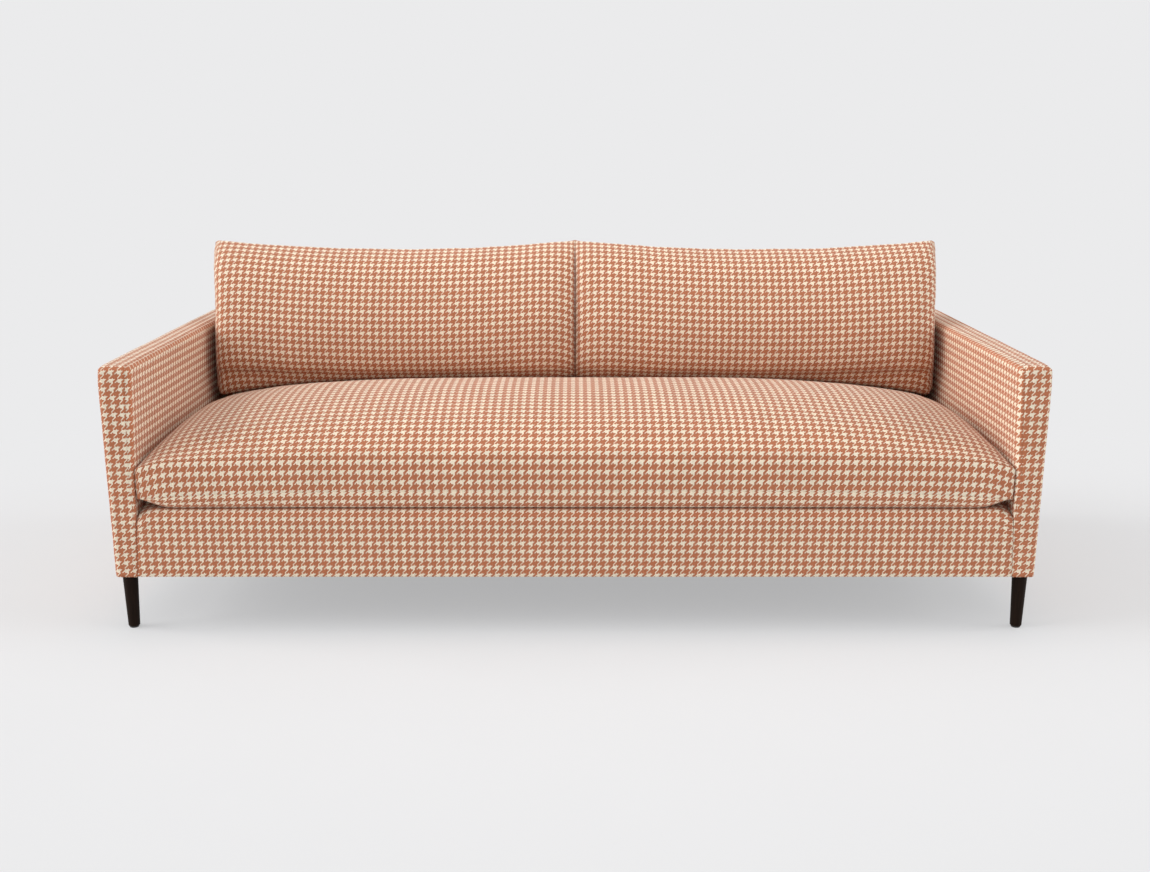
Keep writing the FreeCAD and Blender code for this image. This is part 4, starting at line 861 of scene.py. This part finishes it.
def seat_surface(x, y):
    """Height of the seat cushion's top at a place."""
    high = between(SEAT_PROFILE, (y - SEAT_FRONT) / SEAT_LENGTH)
    return SEAT_SEAM + crown(x) * SEAT_RISE + crown(x) * high * SEAT_CROWN


def back_top(side):
    across = (2 * side - BACK_OUTER - BACK_INNER) / BACK_SPAN
    return BACK_HIGH - BACK_DIP * (1 - across ** 2) - 8.0 * fade(BACK_OUTER - side, 11.0) ** 2


def back_sections(side, bulge):
    """The front and the rear line of a back cushion at side, from its foot up to its top seam."""
    top = back_top(side)
    foot = BACK_FOOT + BACK_FOOT_RISE * (BACK_OUTER - side) / BACK_SPAN
    bulge = max(0.004, bulge)

    def blended(y, z, along):
        """A place of the full cushion, drawn towards the side seam where it is less full."""
        z_edge = foot + along * (top - foot)
        y_edge = seam_y(z_edge)
        rise = bulge if bulge < 0.5 else 1 - (1 - bulge) * 0.5
        return (y_edge + bulge * (y - y_edge), z_edge + rise * (z - z_edge))

    def clear(y, z, gap):
        return (y, max(z, seat_surface(side, y) + gap))

    front = [blended(ZIP_Y, ZIP_Z, 0.0), blended(ZIP_Y - ZIP_HALF, ZIP_Z, 0.01)]
    front += [blended(y, seat_surface(side, y) + gap, along) for y, gap, along in BACK_UNDER]
    for offset, height, along in FRONT_FACE:
        z = BACK_FOOT + height * (top - BACK_FOOT)
        y = seam_y(z) + offset * HALF_THICK
        if height < 0.25:
            y, z = clear(y, z, 5.0)
        front.append(blended(y, z, along))
    front.append((seam_y(top), top))
    front = [clear(y, z, 3.5) if y < 770 else (y, z) for y, z in front]

    rear = [blended(ZIP_Y, ZIP_Z, 0.0), blended(ZIP_Y + ZIP_HALF, ZIP_Z, 0.02),
            blended(808.0, 468.0, 0.05)]
    rear += [blended(back_face(z) - gap, z, along) for z, gap, along in (
        (BACK_FOOT + 37.3, 3.0, 0.09), (560.0, 1.2, 0.28), (BACK_FOOT + 209.0, 3.0, 0.5))]
    for offset, height, along in REAR_FACE:
        z = BACK_FOOT + height * (top - BACK_FOOT)
        rear.append(blended(seam_y(z) + offset * HALF_THICK, z, along))
    rear.append((seam_y(top), top))
    return smooth(front, BACK_STEPS), smooth(rear, BACK_STEPS)


def back_cushion(side, sign):
    form = Form()
    stations = [(BACK_INNER + end * BACK_REACH, full) for end, full in smooth(INNER_END, 2)]
    first, flat = BACK_INNER + BACK_REACH, BACK_SPAN - 2 * BACK_REACH
    stations += [(first + flat * k / 58, 1.0) for k in range(1, 58)]
    stations += [(BACK_OUTER - end * BACK_REACH, full)
                 for end, full in reversed(smooth(OUTER_END, 2))]
    sections = [back_sections(place, full) for place, full in stations]
    # how far each column lies along the cloth where the cushion is fullest
    over = lengths([(place, front[10 * BACK_STEPS][0])
                    for (place, full), (front, rear) in zip(stations, sections)])
    length = over[-1]
    for face, way in ((0, sign), (1, -sign)):
        rows = []
        for (place, full), pair, s in zip(stations, sections, over):
            marks = lengths(pair[face])
            beyond = fade(BACK_OUTER - place, 60.0)
            sink = ROW_SINK_INNER * fade(s, ROW_SINK_REACH) ** 2
            sink += ROW_SINK_OUTER * fade(length - s, ROW_SINK_REACH) ** 2
            rows.append([((sign * (place + between(BACK_SIDE, z) * beyond), y, z),
                          (way * (s - length / 2), sink - marks[-1] + mark),
                          min(marks[-1] - mark, mark, s, length - s))
                         for (y, z), mark in zip(pair[face], marks)])
        form.grid(rows, flip=way > 0)

    def keep(x, y, z):
        """Nothing moves where the cushion lies on the seat or the back or meets its neighbours."""
        seat = clamp((z - seat_surface(x, y) - 4.0) / 30.0) if y < 770 else 0.0
        back = 1.0 if z > 660 else clamp((back_face(z) - 3 - y) / 30.0)
        inner = clamp((abs(x) - BACK_INNER - 1) / 14.0)
        outer = clamp((BACK_OUTER - 1 - abs(x)) / 14.0) if z < 660 else 1.0
        return seat * back * inner * outer

    finish_cushion(form, 0.9, f"back_cushion_{side}", "filling", 1.2, 0.9,
                   ((105.0, 2.2), (44.0, 0.6)), keep)


# Linings, and the zips


def deck_lining():
    """Twill pulled flat over the deck pad, from the front border to the back."""
    half, length = arm_inner(DECK) - 0.5, DECK_REAR - DECK_FRONT
    thing = Form().grid([
        [((x, y, DECK - 0.4), (x, y), min(half - abs(x), y - DECK_FRONT, DECK_REAR - y))
         for x in (half * (2 * share - 1) for share in spread(2 * half, 24))]
        for y in (DECK_FRONT + length * share for share in spread(length, 24))
    ]).build("deck_lining")
    dress(thing, "deck_lining", "frame", "deck_cover")


def dust_sheet():
    """Black non-woven cloth stapled under the frame, with a hole for each leg."""
    form = Form()
    half, length = 1080.0, DEPTH - 2 * DUST_INSET
    inner_x, inner_y = LEG_X - LEG_PATCH, LEG_Y - LEG_PATCH

    def flat(x, y):
        return (x, y, DUST_SHEET), (x, -y), FAR

    def round_leg(sx, sy, ring, turn):
        """A square of cloth round a leg, from its hole out to the square's edge."""
        cx, cy = sx * LEG_X, DEPTH / 2 + sy * LEG_Y
        dx, dy = math.cos(turn), math.sin(turn)
        grow = 1 / max(abs(dx), abs(dy))
        edge_x = sx * (half if dx * sx > 0 else inner_x)
        edge_y = DEPTH / 2 + sy * (length / 2 if dy * sy > 0 else inner_y)
        far_x, far_y = cx + (edge_x - cx) * abs(dx) * grow, cy + (edge_y - cy) * abs(dy) * grow
        near_x, near_y = min(max(cx + LEG_HOLE * dx, -half), half), cy + LEG_HOLE * dy
        return flat(near_x + (far_x - near_x) * ring, near_y + (far_y - near_y) * ring)

    for sx in (-1.0, 1.0):
        for sy in (-1.0, 1.0):
            form.grid([[round_leg(sx, sy, ring, 2 * math.pi * (k / 32 + 0.125))
                        for k in range(33)] for ring in (0.0, 0.35, 1.0)])
    low, high = DEPTH / 2 - inner_y, DEPTH / 2 + inner_y
    for x0, x1, y0, y1 in ((-half, -inner_x, low, high), (inner_x, half, low, high),
                           (-inner_x, inner_x, DUST_INSET, DEPTH - DUST_INSET)):
        wide, deep = max(2, round((x1 - x0) / 40)), max(2, round((y1 - y0) / 40))
        form.grid([[flat(x0 + (x1 - x0) * j / wide, y0 + (y1 - y0) * i / deep)
                    for j in range(wide + 1)] for i in range(deep + 1)], flip=True)
    thing = form.build("dust_sheet", reach=0.1)
    soften(thing, 0.0, 0.0, ((130.0, 0.35),))
    dress(thing, "dust_cloth", "frame", "dust_cover")


BLOCK_CORNERS = ((-1, -1, -1), (1, -1, -1), (1, 1, -1), (-1, 1, -1),
                 (-1, -0.6, 1), (1, -0.6, 1), (1, 0.6, 1), (-1, 0.6, 1))
BLOCK_FACES = ((0, 3, 2, 1), (4, 5, 6, 7), (0, 1, 5, 4), (1, 2, 6, 5), (2, 3, 7, 6), (3, 0, 4, 7))
TAPE_BLOCKS = 60
TOOTH_PITCH, TOOTH_LENGTH, TOOTH_OFFSET = 2.6, 4.0, 1.3


def zip_fastener(name, body, across, out):
    """Two tapes that meet in a row of interlocked teeth, in the CAD zip's box."""
    node = f"{body}_zip"
    low, high = [[value / MM for value in corner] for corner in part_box(node)]
    middle = Vector([(a + b) / 2 for a, b in zip(low, high)])
    axes = [Vector((1, 0, 0)), Vector(across), Vector(out)]
    length, width, depth = (
        sum(abs(axis[i]) * (high[i] - low[i]) for i in range(3)) for axis in axes)
    tape = [(middle + axes[1] * way * (width / 4 + 0.5) - axes[2] * depth * 0.2
             + axes[0] * (length * ((k + 0.5) / TAPE_BLOCKS - 0.5)),
             (length / TAPE_BLOCKS, width / 2 - 1.0, depth * 0.4))
            for way in (-1, 1) for k in range(TAPE_BLOCKS)]
    count = int((length - 8) / TOOTH_PITCH)
    teeth = [(middle + axes[0] * (TOOTH_PITCH * (k - count / 2))
              + axes[1] * (TOOTH_OFFSET if k % 2 else -TOOTH_OFFSET) + axes[2] * depth * 0.12,
              (TOOTH_PITCH * 0.62, TOOTH_LENGTH, depth * 0.66)) for k in range(count)]
    for part, slot, blocks, replaced in (("tape", "zip_tape", tape, [node]),
                                         ("teeth", "zip_metal", teeth, [])):
        points, faces = [], []
        for place, size in blocks:
            faces += [[len(points) + k for k in ring] for ring in BLOCK_FACES]
            for corner in BLOCK_CORNERS:
                offset = [a * b / 2 for a, b in zip(corner, size)]
                points.append([(place[i] + sum(a * axis[i] for a, axis in zip(offset, axes))) * MM
                               for i in range(3)])
        mesh = bpy.data.meshes.new(f"{name}_{part}")
        mesh.from_pydata(points, [], faces)
        weld(mesh, 0.01, lambda work: bmesh.ops.recalc_face_normals(work, faces=work.faces))
        dress(add_to_scene(f"{name}_{part}", mesh), slot, body, *replaced)


# Every CAD piece that shows keeps its shape and gets the finish of its slot.
slot_of = {part["node"]: part["material_slot"] for part in frame["record"]["subparts"]}
for name, thing in frame["nodes"].items():
    thing.data.materials.clear()
    thing.data.materials.append(finishes[slot_of[name]])
for side, sign in (("left", -1.0), ("right", 1.0)):
    arm_upholstery(side, sign)
    back_cushion(side, sign)
front_border()
inside_back()
outside_back()
deck_lining()
dust_sheet()
seat_cushion()
zip_fastener("seat_zip", "seat_cushion", (0, 0, 1), (0, 1, 0))
for side in ("left", "right"):
    zip_fastener(f"back_zip_{side}", f"back_cushion_{side}", (0, 1, 0), (0, 0, -1))

# Floor, light and camera

BACKDROP = linear(235, 235, 236)
FLOOR_AS_BACKDROP, FLOOR_SIZE = 0.5, 30000.0
# The floor turns into backdrop from one to the other of these shares of an ellipse, in metres.
FLOOR_ELLIPSE, FLOOR_FADE = (2.6, 1.8), (0.6, 1.15)
AMBIENT = 0.54
# Each soft lamp: the way towards it, how much light it gives and how wide it is in the sky.
SUNS = [
    ("key_light", (-0.30, -0.80, 0.50), 0.20, 90),
    ("left_light", (-1.0, -0.05, 0.40), 0.72, 40),
    ("right_light", (1.0, -0.05, 0.40), 0.37, 40),
]
# The lamp above the sofa: its place and size in metres, and its power.
LAMP_PLACE, LAMP_SIZE, LAMP_POWER = (0.0, -0.35, 2.1), (2.4, 0.6), 7.0
# Found from the photograph's vanishing points.
CAMERA_PLACE, CAMERA_PITCH, CAMERA_LENS = (0.0, -3.380, 1.168), 13.39, 40.38


def stage_floor():
    m = Material("studio_floor", 0.9, Specular_IOR_Level=0.1)
    cloud = m.noise(m.place(), 3.0, 3.0)
    material = m.done(m.shades(cloud, (226, 226, 227), (229, 229, 230)))
    # The camera sees part of the floor as backdrop, so that the shadow on it stays pale, and
    # further from the sofa all of it, so that the floor has no edge.
    seen = m.add("Emission", Color=BACKDROP).outputs[0]
    away = m.add("VectorMath", {"operation": "LENGTH"},
                 i0=m.place((1 / FLOOR_ELLIPSE[0], 1 / FLOOR_ELLIPSE[1], 1.0))).outputs["Value"]
    part = m.ramp(away, *FLOOR_FADE, FLOOR_AS_BACKDROP, 1.0, "SMOOTHSTEP")
    blend = m.add("MixShader", i0=m.times(m.sees_backdrop(), part),
                  i1=m.shader.outputs[0], i2=seen)
    m.feed(m.tree.nodes["Material Output"].inputs["Surface"], blend.outputs[0])
    floor = Form().grid([[((x, y, 0), (0, 0), FAR) for x in (-FLOOR_SIZE, FLOOR_SIZE)]
                         for y in (-FLOOR_SIZE, FLOOR_SIZE)]).build("studio_floor")
    floor.data.materials.append(material)


def lamp(name, kind, **settings):
    data = bpy.data.lights.new(name, kind)
    for key, value in settings.items():
        setattr(data, key, value)
    return add_to_scene(name, data)


def studio():
    world = bpy.data.worlds.new("studio")
    scene.world = world
    world.use_nodes = True
    m = Tree(world.node_tree)
    surface = m.tree.nodes["Background"]
    m.feed(surface.inputs["Color"], (1.0, 1.0, 1.0))
    m.feed(surface.inputs["Strength"], AMBIENT)
    seen = m.add("Background", Color=BACKDROP)
    mix = m.add("MixShader", i0=m.sees_backdrop(), i1=surface.outputs[0], i2=seen.outputs[0])
    m.feed(m.tree.nodes["World Output"].inputs["Surface"], mix.outputs[0])
    for name, towards, strength, angle in SUNS:
        sun = lamp(name, "SUN", energy=strength * math.pi, angle=math.radians(angle))
        sun.rotation_euler = (-Vector(towards)).to_track_quat("-Z", "Y").to_euler()
    panel = lamp("overhead_lamp", "AREA", shape="RECTANGLE", size=LAMP_SIZE[0],
                 size_y=LAMP_SIZE[1], energy=LAMP_POWER)
    panel.location = LAMP_PLACE
    panel.visible_camera = False


def camera():
    data = bpy.data.cameras.new("camera")
    data.sensor_width, data.lens, data.clip_end = 36.0, CAMERA_LENS, 100.0
    thing = add_to_scene("camera", data)
    thing.location = CAMERA_PLACE
    thing.rotation_euler = (math.radians(90 - CAMERA_PITCH), 0.0, 0.0)
    scene.camera = thing


stage_floor()
studio()
camera()
scene.view_settings.view_transform = "Standard"
